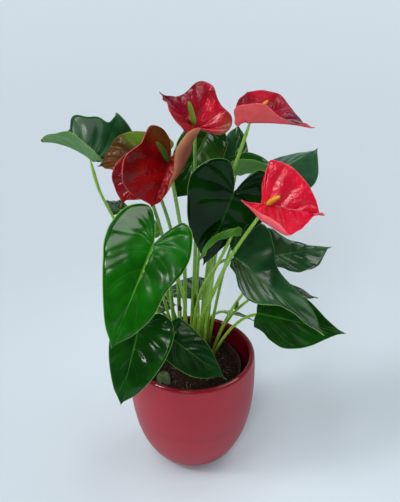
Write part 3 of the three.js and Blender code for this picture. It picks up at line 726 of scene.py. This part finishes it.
def build_blade(name, form, top, under, edge):
    """A thin closed body, swollen between its veins, with its ribs below and a fine margin."""
    rows, cols = form["mesh"]
    spot, used = blade_net(rows, cols)
    s = np.array([i / rows for i, j in used])
    t = np.array([abs(j) / cols for i, j in used])
    side = np.array([-1 if j < 0 else 1 for i, j in used])
    middle = np.where(side[:, None] < 0, blade_points(form, -1, s, t), blade_points(form, 1, s, t))
    middle = placed(form, middle) + pulled(form, side, s, t)
    starts = [(i, j) for i in range(1, rows) for j in range(-cols, cols)]
    cells = [[(i, j), (i, j + 1), (i + 1, j + 1), (i + 1, j)] for i, j in starts]
    quads = np.array([[spot[knot] for knot in cell] for cell in cells])
    middle = swollen(form, middle, quads, s, t)
    points, count = skins(form, middle, point_normals(middle, quads), s, t), len(middle)

    def on_map(knots):
        return [(0.5 + j / cols / 2, i / rows) for i, j in knots]

    faces, uvs, slots = [], [], []
    for quad, cell in zip(quads.tolist(), cells):
        kept = [k for k in range(4) if quad[k] != quad[k - 1]]
        for slot, order in enumerate((kept, kept[::-1])):
            faces.append(tuple(quad[k] + slot * count for k in order))
            uvs += on_map(cell[k] for k in order)
            slots.append(slot)
    rim = blade_rim(rows, cols)
    for here, there in zip(rim, rim[1:] + rim[:1]):
        a, b = spot[here], spot[there]
        if a != b:
            faces.append((b, a, a + count, b + count))
            uvs += on_map((there, here, here, there))
            slots.append(2)
    return mesh_piece(name, points, faces, [top, under, edge], uvs, slots)


def vein_group():
    """Masks of a blade's ribs, side veins and margin, from its map: left to right and notch to tip."""
    tree = bpy.data.node_groups.new("blade_veins", "ShaderNodeTree")
    for name, kind in (("Map", "Vector"), ("Veins", "Float")):
        tree.interface.new_socket(name, in_out="INPUT", socket_type=f"NodeSocket{kind}")
    given = tree.nodes.new("NodeGroupInput").outputs
    across, along, _ = add_node(tree, "SeparateXYZ", {0: given["Map"]}).outputs
    from_rib = maths(tree, "ABSOLUTE", maths(tree, "MULTIPLY_ADD", across, 2.0, -1.0))
    arch = times(tree, times(tree, from_rib, from_rib), VEIN_ARCH)
    phase = times(tree, maths(tree, "SUBTRACT", along, arch), given["Veins"])
    apart = maths(tree, "ABSOLUTE", maths(tree, "SUBTRACT", maths(tree, "FRACT", phase), 0.5))
    fading = spread(tree, from_rib, *VEIN_WEAKENS, 1.0, 0.25)
    vein = times(tree, spread(tree, apart, *VEIN_FADES, 1.0, 0.0), fading)
    near_margin = maths(tree, "ABSOLUTE", maths(tree, "SUBTRACT", from_rib, COLLECTOR_AT))
    collector = times(tree, spread(tree, near_margin, *COLLECTOR_FADES, 1.0, 0.0), 0.5)
    masks = {
        "Rib": spread(tree, from_rib, *RIB_FADES, 1.0, 0.0),
        "Vein": maths(tree, "MAXIMUM", vein, collector),
        "Margin": spread(tree, from_rib, *MARGIN_STARTS),
        "Swell": spread(tree, apart, *SWELL_RISES),
        "Across": from_rib,
        "Along": along,
    }
    for name in masks:
        tree.interface.new_socket(name, in_out="OUTPUT", socket_type="NodeSocketFloat")
    result = tree.nodes.new("NodeGroupOutput")
    for name, value in masks.items():
        feed(tree, result.inputs[name], value)
    return tree


VEIN_GROUP = vein_group()


def own_map(tree):
    return add_node(tree, "UVMap", uv_map="blade").outputs["UV"]


def blade_masks(tree, veins):
    sockets = {"Map": own_map(tree), "Veins": veins}
    return add_node(tree, "Group", sockets, node_tree=VEIN_GROUP).outputs


def stain(tree, color, tone, mask, amount=1.0):
    """color, turned into tone by amount where mask is 1."""
    return blend(tree, times(tree, mask, amount), color, tone)


def leaf_top(name, lamina, shade, rib, margin, roughness, shine, quilting):
    """The polished upper side of a leaf, quilted between its veins."""
    material, tree, inputs = new_finish(name, Specular_IOR_Level=shine)
    masks = blade_masks(tree, LEAF["veins"])
    broad = cloudy(tree, scale=34.0, detail=3.0)
    fine = cloudy(tree, scale=900.0, detail=4.0)
    color = blend(tree, spread(tree, broad, 0.35, 0.65), shade, lamina)
    color = stain(tree, color, rib, masks["Vein"], 0.12)
    color = stain(tree, color, rib, masks["Rib"], 0.6)
    color = stain(tree, color, margin, masks["Margin"])
    feed(tree, inputs["Roughness"], spread(tree, broad, 0.2, 0.8, roughness - 0.05, roughness + 0.09))
    relief = maths(tree, "MULTIPLY_ADD", fine, 0.06, masks["Swell"])
    surface(tree, inputs, color, relief, strength=quilting, depth=0.0007)
    return material


def leaf_under(name, veins, lamina, rib, inner=None, glow=0.0):
    """The duller, paler underside, where the ribs stand out. inner is its colour away from the margin.
    glow is how much of the light on the face shines through to it."""
    glowing = dict(Subsurface_Weight=glow, Subsurface_Scale=GLOW_DEPTH)
    material, tree, inputs = new_finish(name, Roughness=0.5, Specular_IOR_Level=0.3, **glowing)
    masks = blade_masks(tree, veins)
    broad = cloudy(tree, scale=40.0, detail=4.0)
    darker = (*[0.78 * c for c in srgb(lamina)[:3]], 1)
    color = blend(tree, spread(tree, broad, 0.35, 0.7), darker, lamina)
    if inner is not None:
        from_margin = spread(tree, masks["Across"], 0.76, 0.97, 0.9, 0.0)
        past_lobe = spread(tree, masks["Along"], 0.24, 0.36)
        color = stain(tree, color, inner, times(tree, from_margin, past_lobe))
    color = stain(tree, color, rib, masks["Vein"], 0.6)
    color = stain(tree, color, rib, masks["Rib"])
    surface(tree, inputs, color, masks["Vein"], strength=0.5, depth=0.0006)
    return material


def stalk_finish(name, low, high, base):
    """A smooth stalk, streaked along its length, and reddish where it leaves the crown."""
    material, tree, inputs = new_finish(name, Roughness=0.34, Coat_Weight=0.15, Coat_Roughness=0.2)
    place = own_space(tree)
    drawn = add_node(tree, "VectorMath", {0: place, 1: (1, 1, 0.06)}, operation="MULTIPLY").outputs[0]
    streaks = cloudy(tree, scale=900.0, detail=3.0, place=drawn)
    up = add_node(tree, "SeparateXYZ", {0: place}).outputs["Z"]
    color = blend(tree, spread(tree, streaks, 0.35, 0.7), low, high)
    color = stain(tree, color, base, spread(tree, up, *STALK_REDDENS, 0.75, 0.0))
    surface(tree, inputs, color, streaks, strength=0.25, depth=0.0002)
    return material


def smooth_route(points, steps):
    """Evenly spaced points on a centripetal curve through points."""
    points = [Vector(p) for p in points]
    ends = [points[0] * 2 - points[1], *points, points[-1] * 2 - points[-2]]
    route = []
    for a, b, c, d in zip(ends, ends[1:], ends[2:], ends[3:]):
        before, own, after = (a - b).length ** 0.5, (b - c).length ** 0.5, (c - d).length ** 0.5
        leave = (b - a) / before - (c - a) / (before + own) + (c - b) / own
        arrive = (c - b) / own - (d - b) / (own + after) + (d - c) / after
        leave, arrive = leave * own, arrive * own
        cubic, square = (b - c) * 2 + leave + arrive, (c - b) * 3 - leave * 2 - arrive
        for w in (step / ROUTE_STEPS for step in range(ROUTE_STEPS)):
            route.append(((cubic * w + square) * w + leave) * w + b)
    route.append(points[-1])
    lengths = np.concatenate([[0], np.cumsum([(q - p).length for p, q in zip(route, route[1:])])])
    wanted = np.linspace(0, lengths[-1], steps + 1)
    flat = np.array(route)
    return np.stack([np.interp(wanted, lengths, flat[:, axis]) for axis in range(3)], axis=1)


def seat_of(form):
    """Where the blade sits on its stalk, SEAT mm along its midrib."""
    tip = blade_points(form, 1, np.array([1.0]), np.array([0.0]))[0]
    return placed(form, [tip / np.linalg.norm(tip) * SEAT])[0]


def build_stalk(name, form, radius, finish, knee):
    """A tapering stalk. knee is how much it thickens just under its blade."""
    x, y = form["root"]
    ground = ground_height(x, y)
    foot = [(x * ROOT_DRAWN_IN, y * ROOT_DRAWN_IN, ground - ROOT_DEPTH), (x, y, ground)]
    route = smooth_route([*foot, *form["via"], seat_of(form)], STALK_STEPS)
    share = np.linspace(0, 1, STALK_STEPS + 1)
    knee_at = np.exp(-(((share - KNEE_AT) / KNEE_REACH) ** 2))
    radii = radius * (STALK_TAPER[0] - STALK_TAPER[1] * share) * (1 + knee * knee_at)
    radii[-len(STALK_TIP):] *= STALK_TIP
    radii[:len(STALK_FOOT)] *= STALK_FOOT
    return mesh_piece(name, *tube(route, radii, STALK_SIDES), [finish])


# width, lobe: how far each half reaches to its side and behind the stalk, left and right. fold, curl:
# degrees that each half rises at the midrib and bends towards its margin. droop, lift, twist: degrees
# that the tip bends down, the lobes bend up and the blade turns about its midrib. wave, ripple: how far
# the margin goes up and down. swell, uneven: how far the blade rises between veins and here and there.
# cusp: how far its tip is drawn out. bends, rolls: side, place and reach on the margin, mm or degrees.
LEAF = dict(
    outline="cordate", thickness=0.8, length=90, width=40, lobe=30, fold=10, curl=0, droop=30, lift=10,
    twist=0, roll=0, wave=1.5, waves=2.2, phase=0.6, cusp=1.5, ripple=0.35, veins=9.0, swell=0.6,
    uneven=0.8, bends=(), rolls=(), mesh=(72, 12), look="mature",
)

# at: where the stalk meets the blade. heading: which way the tip points, 0 to the back, 90 to the left
# and 180 to the front. pitch: how far it points up. roll: how far its right side is turned down.
# root: where the stalk leaves the peat. via: points that it passes on its way.
LEAVES = {
    "front_left": dict(
        at=(-36, -75, 327), heading=150, pitch=-42, roll=-26, length=106, width=(38, 36), lobe=(30, 36),
        fold=(8, 12), droop=22, root=(-5, 11), via=[(-12, -26, 250)], look="bright",
        bends=[(1, 0.4, 0.17, -14, 12, -8), (-1, 0.58, 0.07, -7, 0, 0), (-1, 0.2, 0.1, 3, 0, 0)],
    ),
    "front_low": dict(
        at=(-53, -68, 226), heading=160, pitch=-46, roll=-14, length=82, width=(37, 27), lobe=(17, 20),
        fold=(6, 14), droop=20, root=(-14, 6), via=[(-34, -34, 200)],
    ),
    "front_small": dict(
        at=(-22, -32, 183), heading=-116, pitch=-26, roll=40, length=73, width=(20, 23), lobe=(11, 12),
        droop=18, outline="ovate", root=(-6, 2), via=[(-12, -14, 160)], look="deep",
        bends=[(-1, 0.35, 0.12, 2, 3, 5), (-1, 0.75, 0.12, -4, 0, -1), (1, 0.82, 0.1, 0, 2, 3)],
    ),
    "centre": dict(
        at=(42, -21, 354), heading=128, pitch=-63, roll=-52, length=84, width=(36, 42), lobe=(32, 30),
        fold=(6, 10), droop=18, outline=("waisted", "cordate"), root=(6, 20), via=[(24, 8, 270)],
        bends=[(1, 0.42, 0.1, -6, 1, 2), (1, 0.8, 0.12, 5, 0, 0), (-1, 0.58, 0.1, 6, -2, -3)],
        look="dark",
    ),
    "right_broad": dict(
        at=(44, -25, 282), heading=-119, pitch=-32, roll=46, length=120, width=(42, 27), lobe=(22, 4),
        droop=-10, twist=-44, outline=("waisted", "lobeless"), root=(13, 13),
        via=[(16, -2, 190), (28, -16, 268)], look="cool",
        bends=[
            (-1, 0.48, 0.07, 4, 1, 1), (-1, 0.65, 0.08, -6, 0, 0), (-1, 0.83, 0.08, 5, 0, 1),
            (1, 0.2, 0.1, 4, 0, 0), (1, 0.68, 0.14, 0, 6, 10),
        ],
    ),
    "right_low": dict(
        at=(71, 0, 193), heading=-105, pitch=-4, roll=48, length=99, width=(30, 32), lobe=4, droop=20,
        outline="lobeless", root=(23, 14), via=[(42, 12, 161), (60, 5, 184)],
        bends=[(-1, 0.7, 0.15, -4, 0, 0)], look="calm",
    ),
    "right_mid": dict(
        at=(90, 25, 251), heading=-86, pitch=10, roll=40, length=62, width=(32, 27), lobe=(16, 4),
        droop=16, twist=-34, outline=("waisted", "lobeless"), root=(23, 23),
        via=[(38, 22, 168), (56, 21, 204)], look="cool",
        bends=[(-1, 0.6, 0.08, -1, -3, -5), (-1, 0.75, 0.1, 0, -2, -3), (1, 0.66, 0.16, 2, -2, -4)],
    ),
    "right_inner": dict(
        at=(78, 43, 198), heading=-98, pitch=-2, roll=-6, length=64, width=(15, 20), lobe=8,
        droop=12, root=(24, 31), via=[(44, 40, 160)],
    ),
    "right_high": dict(
        at=(70, 45, 330), heading=-74, pitch=30, roll=22, length=72, width=(30, 35), lobe=(20, 10),
        fold=(-30, -34), droop=14, outline=("cordate", "blunt"), root=(18, 36), via=[(42, 42, 250)],
        bends=[(-1, 0.22, 0.1, 9, 0, 0)], look="pale",
    ),
    "back_right": dict(
        at=(43, 40, 342), heading=-84, pitch=8, length=50, width=(28, 27), lobe=(5, 6),
        fold=(14, 58), droop=10, root=(15, 30), via=[(28, 36, 260)], bends=[(-1, 0.64, 0.12, 1, 2, 3)],
    ),
    "back_high": dict(
        at=(44, 65, 332), heading=-14, pitch=60, roll=20, length=50, width=(18, 14), lobe=3,
        droop=6, outline="ovate", root=(9, 36), via=[(26, 56, 250)], look="cool",
    ),
    "back_centre": dict(
        at=(17, 56, 383), heading=144, pitch=-41, roll=-30, length=76, width=(30, 24), lobe=10,
        droop=14, outline="ovate", root=(1, 35), via=[(8, 50, 250)], bends=[(-1, 0.38, 0.14, -5, 0, 0)],
    ),
    "left_high": dict(
        at=(-97, -2, 380), heading=66, pitch=32, length=60, width=(36, 46), lobe=(10, 36),
        fold=(56, 46), droop=46, wave=3, outline=("ovate", "shouldered"), root=(-22, 24),
        via=[(-62, 16, 258), (-82, 6, 313), (-93, 0, 346)], look="satin",
        bends=[
            (1, 0.26, 0.15, -3, 18, 9), (1, 0.4, 0.06, -9, 7, 11), (1, 0.5, 0.06, 1, -7, -11),
            (1, 0.6, 0.05, 1, -4, -7), (1, 0.76, 0.05, 6, 0, 0), (-1, 0.68, 0.1, 2, -3, -6),
        ],
    ),
    "left_inner": dict(
        at=(-76, 25, 308), heading=36, pitch=12, length=26, width=(11, 13), lobe=6,
        root=(-18, 33), via=[(-46, 32, 240)], bends=[(1, 0.52, 0.12, -5, 0, 0)],
    ),
    "left_young": dict(
        at=(-41, -31, 311), heading=0, pitch=40, length=23, width=(12, 10), lobe=2,
        root=(-9, 35), via=[(-30, 14, 220)], look="young",
    ),
    "back_low": dict(
        at=(9, 70, 176), heading=92, pitch=0, roll=-20, length=44, width=16, lobe=14,
        droop=16, root=(4, 41), via=[(7, 58, 152)], look="cool",
    ),
    "back_left": dict(
        at=(-58, 55, 168), heading=-94, pitch=2, roll=30, length=40, width=16, lobe=12,
        droop=16, root=(-6, 42), via=[(-30, 54, 150)], look="cool",
    ),
    "back_rim": dict(
        at=(43, 73, 140), heading=-94, pitch=-8, roll=-24, length=32, width=9, lobe=6,
        droop=16, wave=0.5, root=(13, 40), via=[(18, 48, 148), (32, 62, 150)],
    ),
    "young_curled": dict(
        at=(45, -40, 325), heading=96, pitch=-2, roll=-6, length=56, width=(7, 8), lobe=5, fold=-46,
        droop=88, outline="ovate", root=(-1, 18), via=[(8, 2, 215), (29, -33, 284)], look="fresh",
    ),
}

# lamina, its shade, ribs, margin, roughness, shine and quilting of a leaf's upper side. The greyed,
# bluish laminas of cool, pale and satin are partly painted sheen, the reflection of the pale paper, on
# their green.
LOOKS = {
    "bright": (0x0A5C00, 0x064600, 0x5E9A2E, 0x86B84A, 0.16, 0.4, 0.4),
    "mature": (0x084402, 0x043002, 0x3E7A24, 0x6FA043, 0.15, 0.4, 0.45),
    "deep": (0x063606, 0x032404, 0x3E7A24, 0x6FA043, 0.22, 0.3, 0.4),
    "calm": (0x0C4606, 0x083404, 0x3E7A24, 0x6FA043, 0.24, 0.18, 0.3),
    "dark": (0x042C03, 0x011C01, 0x1E4A18, 0x4A7A34, 0.1, 0.2, 0.45),
    "cool": (0x14481E, 0x0A3412, 0x2E6A34, 0x5A8E4A, 0.22, 0.55, 0.2),
    "pale": (0x285636, 0x1C4228, 0x4A804A, 0x6A9A58, 0.28, 0.5, 0.25),
    "satin": (0x1E4C28, 0x10341A, 0x3E6E40, 0x5A8E4A, 0.2, 0.16, 0.5),
    "fresh": (0x46801E, 0x346A14, 0x92BE52, 0x9CC468, 0.28, 0.3, 0.3),
    "young": (0x5E962A, 0x46801C, 0x9CC05A, 0xA9CF6E, 0.3, 0.3, 0.3),
}
LEAF_TOPS = {look: leaf_top(f"leaf_{look}", *tones) for look, tones in LOOKS.items()}
LEAF_UNDER = leaf_under("leaf_underside", LEAF["veins"], 0x5A9444, 0x8DB562)
LEAF_MARGIN = mottled_finish("leaf_margin", 0x6A9A3C, 0x8DB85A, 0.4, 200.0, 0.0001)
PETIOLE = stalk_finish("leaf_stalk", 0x7AAA2C, 0xA2D24C, 0x6A4A2A)

for name, own in LEAVES.items():
    form = {**LEAF, **own}
    blade = build_blade(f"{name}_blade", form, LEAF_TOPS[form["look"]], LEAF_UNDER, LEAF_MARGIN)
    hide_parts(f"leaf_{name}_blade")
    stalk = build_stalk(f"{name}_stalk", form, PETIOLE_RADIUS, PETIOLE, PETIOLE_KNEE)
    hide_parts(f"leaf_{name}_petiole")

# ------------------------------------------------------------------ the blooms
# Each is a waxy spathe, lacquered on its face and dull behind, with a spadix of tiny packed florets
# standing at its base, on a round stalk a little thicker than a leaf's. The oldest have turned green.

SPATHE = {
    **LEAF, "outline": "round", "thickness": 1.0, "wave": 1, "veins": 7.0, "swell": 1.5, "uneven": 1.6,
    "cusp": 4.0, "mesh": (84, 16), "ripple": 0.5, "slot": "spathe_red",
}
STALK_RADIUS = 2.05
PETAL_GLOW = 0.7
SPADIX_RADIUS = 2.8
SPADIX_BOW = 0.08
SPADIX_FROM = 0.03  # share of its own length
SPADIX_WIDENS = 0.2  # share of its length over which it widens from its foot
SPADIX_FOOT = 0.5
SPADIX_TAPER = 0.2
SPADIX_TIP = 0.02
SPADIX_STEPS = 90
SPADIX_SIDES = 40
FLORET_ROWS = 22
FLORETS_ROUND = 9
FLORET_RELIEF = 0.34
FLORET_SEAM = 0.4  # of a floret's height, below the spadix's own surface

# face: its colour, a deeper one, veins, margin, aged lobes, how far down the margin and how near the rib
# these reach, tip, shine, and how much it puckers between its veins. The tip colour, which the face
# turns to towards its tip, is a purple painted shade on bloom_top and bloom_top_right. back: the
# underside, its ribs, and its colour away from the margin where that differs.
BLOOMS = {
    "bloom_front": dict(
        at=(-19, -45, 404), heading=156, pitch=-42, roll=-46, length=48, width=46, lobe=(36, 26),
        fold=(22, 8), curl=(168, 0), droop=14, outline=("waisted", "round"), root=(-9, 19),
        via=[(-8, -6, 270)], cusp=0.5, spadix_tip=(-31, -62, 430), florets="unripe", slot="spathe_dark",
        bends=[
            (1, 0.2, 0.1, 0, -2, -3), (1, 0.4, 0.08, 6, -4, -6), (1, 0.72, 0.12, -3, 0, -1),
            (-1, 0.68, 0.16, -10, 0, 0),
        ],
        face=(0x86080C, 0x600406, 0x4A0406, 0xC04A50, 0x54300C, 0.38, 0.1, 0x7A0A0E, 0.2, 0.4),
        back=(0xA87650, 0x8A5040, 0x6A2C14),
    ),
    "bloom_top": dict(
        at=(6, -6, 418), heading=60, pitch=33, roll=-20, length=46, width=(28, 41), lobe=(8, 26),
        fold=(40, 34), droop=0, outline=("round", "shouldered"), root=(-2, 27), via=[(4, 14, 280)],
        spadix_tip=(-2, -17, 450), florets="green", slot="spathe_dark",
        bends=[
            (1, 0.18, 0.1, -3, -3, -4), (1, 0.42, 0.1, -6, -3, -5), (1, 0.65, 0.08, 0, 1, 2),
            (-1, 0.3, 0.12, -5, -2, -3), (-1, 0.72, 0.12, 4, 0, 0),
        ],
        face=(0xBE1028, 0x80091E, 0x6A0A1A, 0x7A3A22, 0x74402A, 0.34, 0.72, 0x5A1228, 0.4, 1.0),
        back=(0xC05A50, 0x9A5A3A),
    ),
    "bloom_top_right": dict(
        at=(53, -14, 428), heading=-95, pitch=4, length=60, width=(33, 34), lobe=(12, 6),
        fold=(30, 54), lift=(10, -30), droop=14, root=(8, 27), via=[(22, 14, 280)],
        spadix_tip=(73, -14, 450), florets="orange",
        bends=[
            (1, 0.15, 0.1, 1, -4, -6), (1, 0.28, 0.08, 3, -1, -3), (1, 0.66, 0.12, -4, -7, -11),
            (-1, 0.48, 0.1, 0, 1, 3), (-1, 0.74, 0.13, -8, -2, -4),
        ],
        face=(0xAC0E28, 0x76081C, 0x6A0818, 0x9A1830, 0x8C1026, 0.1, 0.9, 0x52102C, 0.28, 0.8),
        # the underside is raised to full brightness: its own salmon colour, with painted light on top
        back=(0xFF6E74, 0xE8565E),
    ),
    "bloom_right": dict(
        at=(70, -50, 358), heading=-97, pitch=-6, roll=30, length=56, width=(43, 57), lobe=(6, 22),
        fold=(26, 22), droop=8, outline=("cordate", "slim_lobed"), root=(5, 10),
        via=[(8, -2, 180), (20, -16, 223), (39, -40, 290)], spadix_tip=(84, -62, 373), florets="yellow",
        bends=[(1, 0.24, 0.12, 0, 2, 3), (1, 0.8, 0.18, -5, 6, 9)],
        rolls=[(1, 0.2, 0.1, 70), (1, 0.42, 0.22, 150)],
        face=(0xDC1436, 0xBC0C2A, 0xC40C2C, 0xE85A6C, 0xD0344A, 0.2, 0.7, 0xC40E30, 0.6, 0.9),
        back=(0xE8606C, 0xD04A5A),
    ),
    "bloom_old": dict(
        at=(-41, -8, 385), heading=104, pitch=5, roll=-40, length=49, width=(20, 28), lobe=(32, 26),
        root=(-13, 27), via=[(-20, 14, 280)], cusp=2.0, spadix_tip=(-42, -14, 401), florets="unripe",
        bends=[(1, 0.74, 0.12, 4, -1, -2), (-1, 0.72, 0.15, 0, 4, 6)], slot="spathe_aged",
        face=(0x4C3410, 0x38260A, 0x565A1C, 0x8A6A30, 0x56761A, 0.6, 0.5, 0x60361A, 0.22, 0.8),
        back=(0x8A5A34, 0x7A6A30),
    ),
    "bloom_left": dict(
        at=(-44, -29, 381), heading=137, pitch=-30, roll=-34, length=38, width=(22, 27), lobe=(14, 12),
        root=(-18, 15), via=[(-28, -3, 280)], cusp=1.5, spadix_tip=(-49, -40, 395), florets="unripe",
        bends=[(1, 0.75, 0.14, 4, 0, 1), (-1, 0.75, 0.18, -2, 4, 7)], slot="spathe_dark",
        face=(0x840E14, 0x5A080E, 0x4E080C, 0xC05A60, 0x7A3A1A, 0.3, 0.5, 0x8A0E14, 0.3, 0.6),
        back=(0x8A3A30, 0x7A3A2A),
    ),
}


def spathe_face(name, face, deep, vein, margin, aged, aged_until, aged_from_rib, tip, shine, pucker):
    """A spathe's lacquered face, puckered between its veins. It ages from its lobes' margins. Towards
    its tip it turns to its tip colour, a purple painted shade on bloom_top and bloom_top_right.
    """
    material, tree, inputs = new_finish(name, Specular_IOR_Level=shine)
    masks = blade_masks(tree, SPATHE["veins"])
    broad = cloudy(tree, scale=40.0, detail=4.0)
    fine = cloudy(tree, scale=260.0, detail=3.0)
    in_lobes = spread(tree, masks["Along"], aged_until - 0.08, aged_until + 0.04, 1.0, 0.0)
    to_margin = spread(tree, masks["Across"], aged_from_rib - 0.2, aged_from_rib + 0.2)
    color = blend(tree, spread(tree, broad, 0.35, 0.68), deep, face)
    color = stain(tree, color, aged, times(tree, in_lobes, to_margin), 0.85)
    # towards the tip: on bloom_top and bloom_top_right a purple painted shade
    color = stain(tree, color, tip, spread(tree, masks["Along"], 0.55, 0.9), 0.85)
    color = stain(tree, color, vein, masks["Vein"], 0.4 * pucker)
    color = stain(tree, color, vein, masks["Rib"], 0.5 * pucker)
    color = stain(tree, color, margin, masks["Margin"])
    feed(tree, inputs["Roughness"], spread(tree, fine, 0.2, 0.8, 0.07, 0.17))
    relief = maths(tree, "MULTIPLY_ADD", fine, 1.1, times(tree, masks["Swell"], pucker))
    surface(tree, inputs, color, relief, strength=0.7, depth=0.0013)
    return material


def spadix_finish(name, low, high, foot):
    """Packed florets: pale knobs in darker seams, greener towards the foot."""
    material, tree, inputs = new_finish(name, Roughness=0.55)
    knob, along, _ = add_node(tree, "SeparateXYZ", {0: own_map(tree)}).outputs
    color = blend(tree, spread(tree, knob, 0.25, 0.8), low, high)
    color = stain(tree, color, foot, spread(tree, along, 0.0, 0.4, 0.8, 0.0))
    surface(tree, inputs, color, cloudy(tree, scale=1500.0, detail=2.0), strength=0.3, depth=0.0002)
    return material


def build_spadix(name, form, finish):
    foot, tip = Vector(seat_of(form)), Vector(form["spadix_tip"])
    middle = foot.lerp(tip, 0.5) + Vector((0, 0, (tip - foot).length * SPADIX_BOW))
    share = np.linspace(SPADIX_FROM, 1, SPADIX_STEPS + 1)
    route = [foot.lerp(middle, a).lerp(middle.lerp(tip, a), a) for a in share]
    body = SPADIX_RADIUS * np.sqrt(np.maximum(SPADIX_TIP, 1 - share**5)) * (1 - SPADIX_TAPER * share)
    body *= SPADIX_FOOT + (1 - SPADIX_FOOT) * np.minimum(1, share / SPADIX_WIDENS)
    points, faces = tube(route, body, SPADIX_SIDES)
    knobs = []
    for i, at in enumerate(points):
        ring, k = divmod(i, SPADIX_SIDES)
        turn, climb = k / SPADIX_SIDES * FLORETS_ROUND, ring / SPADIX_STEPS * FLORET_ROWS / 2
        knob = abs(math.cos(math.pi * (turn + climb)) * math.cos(math.pi * (turn - climb)))
        knobs.append(knob)
        outward = at - np.asarray(route[ring])
        points[i] = at + outward / np.linalg.norm(outward) * FLORET_RELIEF * (knob - FLORET_SEAM)
    uvs = [(knobs[i], i // SPADIX_SIDES / SPADIX_STEPS) for face in faces for i in face]
    return mesh_piece(name, points, faces, [finish], uvs)


# a spadix's seams, knobs and foot
FLORETS = {
    "unripe": (0x2E4E12, 0x5A7E26, 0x3E5A1E),
    "green": (0x5C901E, 0xA0CC44, 0x6C9A30),
    "orange": (0xC07A16, 0xF2B02E, 0xB8A038),
    "yellow": (0xC8961E, 0xFAD648, 0xA8B440),
}
SPADIX_FINISH = {look: spadix_finish(f"spadix_{look}", *tones) for look, tones in FLORETS.items()}
BLOOM_STALK = stalk_finish("bloom_stalk", 0x70A22A, 0x98C84A, 0x7A5A30)

for name, own in BLOOMS.items():
    form = {**SPATHE, **own}
    face, back = form["face"], form["back"]
    form["swell"] *= face[-1]
    top = spathe_face(f"{name}_face", *face)
    under = leaf_under(f"{name}_back", SPATHE["veins"], *back, glow=PETAL_GLOW)
    edge = mottled_finish(f"{name}_margin", face[3], back[0], 0.4, 200.0, 0.0001)
    spathe = build_blade(f"{name}_bract", form, top, under, edge)
    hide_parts(f"{name}_spathe")
    stalk = build_stalk(f"{name}_stem", form, STALK_RADIUS, BLOOM_STALK, 0.0)
    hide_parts(f"{name}_stalk")
    spadix = build_spadix(f"{name}_spike", form, SPADIX_FINISH[form["florets"]])
    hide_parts(f"{name}_spadix")

# ------------------------------------------------------------------ what older growth left behind
# The stub of a stalk that was cut back and has browned at its top, the papery sheaths that clasped young
# stalks, a swollen joint, a bud scale, and a dull scrap of leaf that lies against the pot's wall.

DRY_BROWN = mottled_finish("dry_remains", 0x2A160C, 0x5A3A20, 0.8, 700.0, 0.0004)
DULL_GREEN = mottled_finish("swollen_joint", 0x2E4A1A, 0x56722C, 0.6, 500.0, 0.0003)
RUSTY = mottled_finish("rusty_sheath", 0x7A4A26, 0xA8642E, 0.6, 300.0, 0.0003)
PINKISH = mottled_finish("bud_scale", 0x8A5A50, 0xB4867A, 0.6, 300.0, 0.0003)
SCRAP_GREEN = mottled_finish("dull_leaf_scrap", 0x2C3E1E, 0x4A6434, 0.7, 180.0, 0.0003)
STUB_FOOT = Vector((-12.2, 12.6, ground_height(-12.2, 12.6)))
STUB_TOP = Vector((-13.4, 10.8, 192.5))
UP = Vector((0, 0, 1))
REMNANT_SIDES = 14
REMNANT_STEPS = 4
REMNANTS = {
    "cut_stub": (PETIOLE, (2.1, 2.0, 1.9, 1.8, 1.9, 1.7), [STUB_FOOT - 8 * UP, STUB_FOOT, STUB_TOP]),
    "cut_stub_end": (
        DRY_BROWN, (1.9, 2.2, 2.1, 1.3),
        [STUB_TOP - 3 * UP, STUB_TOP, STUB_TOP + Vector((-0.6, 0, 2.2))],
    ),
    "old_sheath": (
        DRY_BROWN, (0.5, 1.2, 1.3, 0.9, 0.3), [(3.0, 22.0, 185), (3.7, 21.0, 194), (3.2, 20.6, 206)],
    ),
    "stalk_joint": (
        DULL_GREEN, (1.0, 1.9, 2.1, 1.7, 0.9), [(47.2, 21.0, 184), (49.4, 20.4, 188), (50.4, 20.2, 195)],
    ),
    "rusty_sheath": (
        RUSTY, (1.2, 2.2, 2.3, 1.9, 1.2), [(34.0, 36.0, 145), (36.0, 36.6, 150), (38.8, 37.4, 156)],
    ),
    "bud_scale": (
        PINKISH, (0.5, 2.4, 3.2, 2.6, 0.6), [(38.5, -38, 316), (44, -39, 319), (49.5, -38, 316)],
    ),
}
SCRAP = {
    **LEAF, "outline": "round", "at": (-30.8, -29, 118), "heading": 8, "pitch": 32, "roll": -8,
    "length": 15, "width": 7.5, "lobe": 4, "droop": 12, "wave": 0.5, "uneven": 0.4, "swell": 0.1,
    "cusp": 0, "ripple": 0.2, "mesh": (24, 6),
}

for name, (finish, radii, path) in REMNANTS.items():
    route = smooth_route(path, REMNANT_STEPS * len(radii))
    share = np.linspace(0, len(radii) - 1, len(route))
    thickness = np.interp(share, range(len(radii)), radii)
    mesh_piece(name, *tube(route, thickness, REMNANT_SIDES), [finish])
build_blade("leaf_scrap", SCRAP, SCRAP_GREEN, SCRAP_GREEN, DRY_BROWN)

# ------------------------------------------------------------------ bringing the scene up to date

bpy.context.view_layer.update()
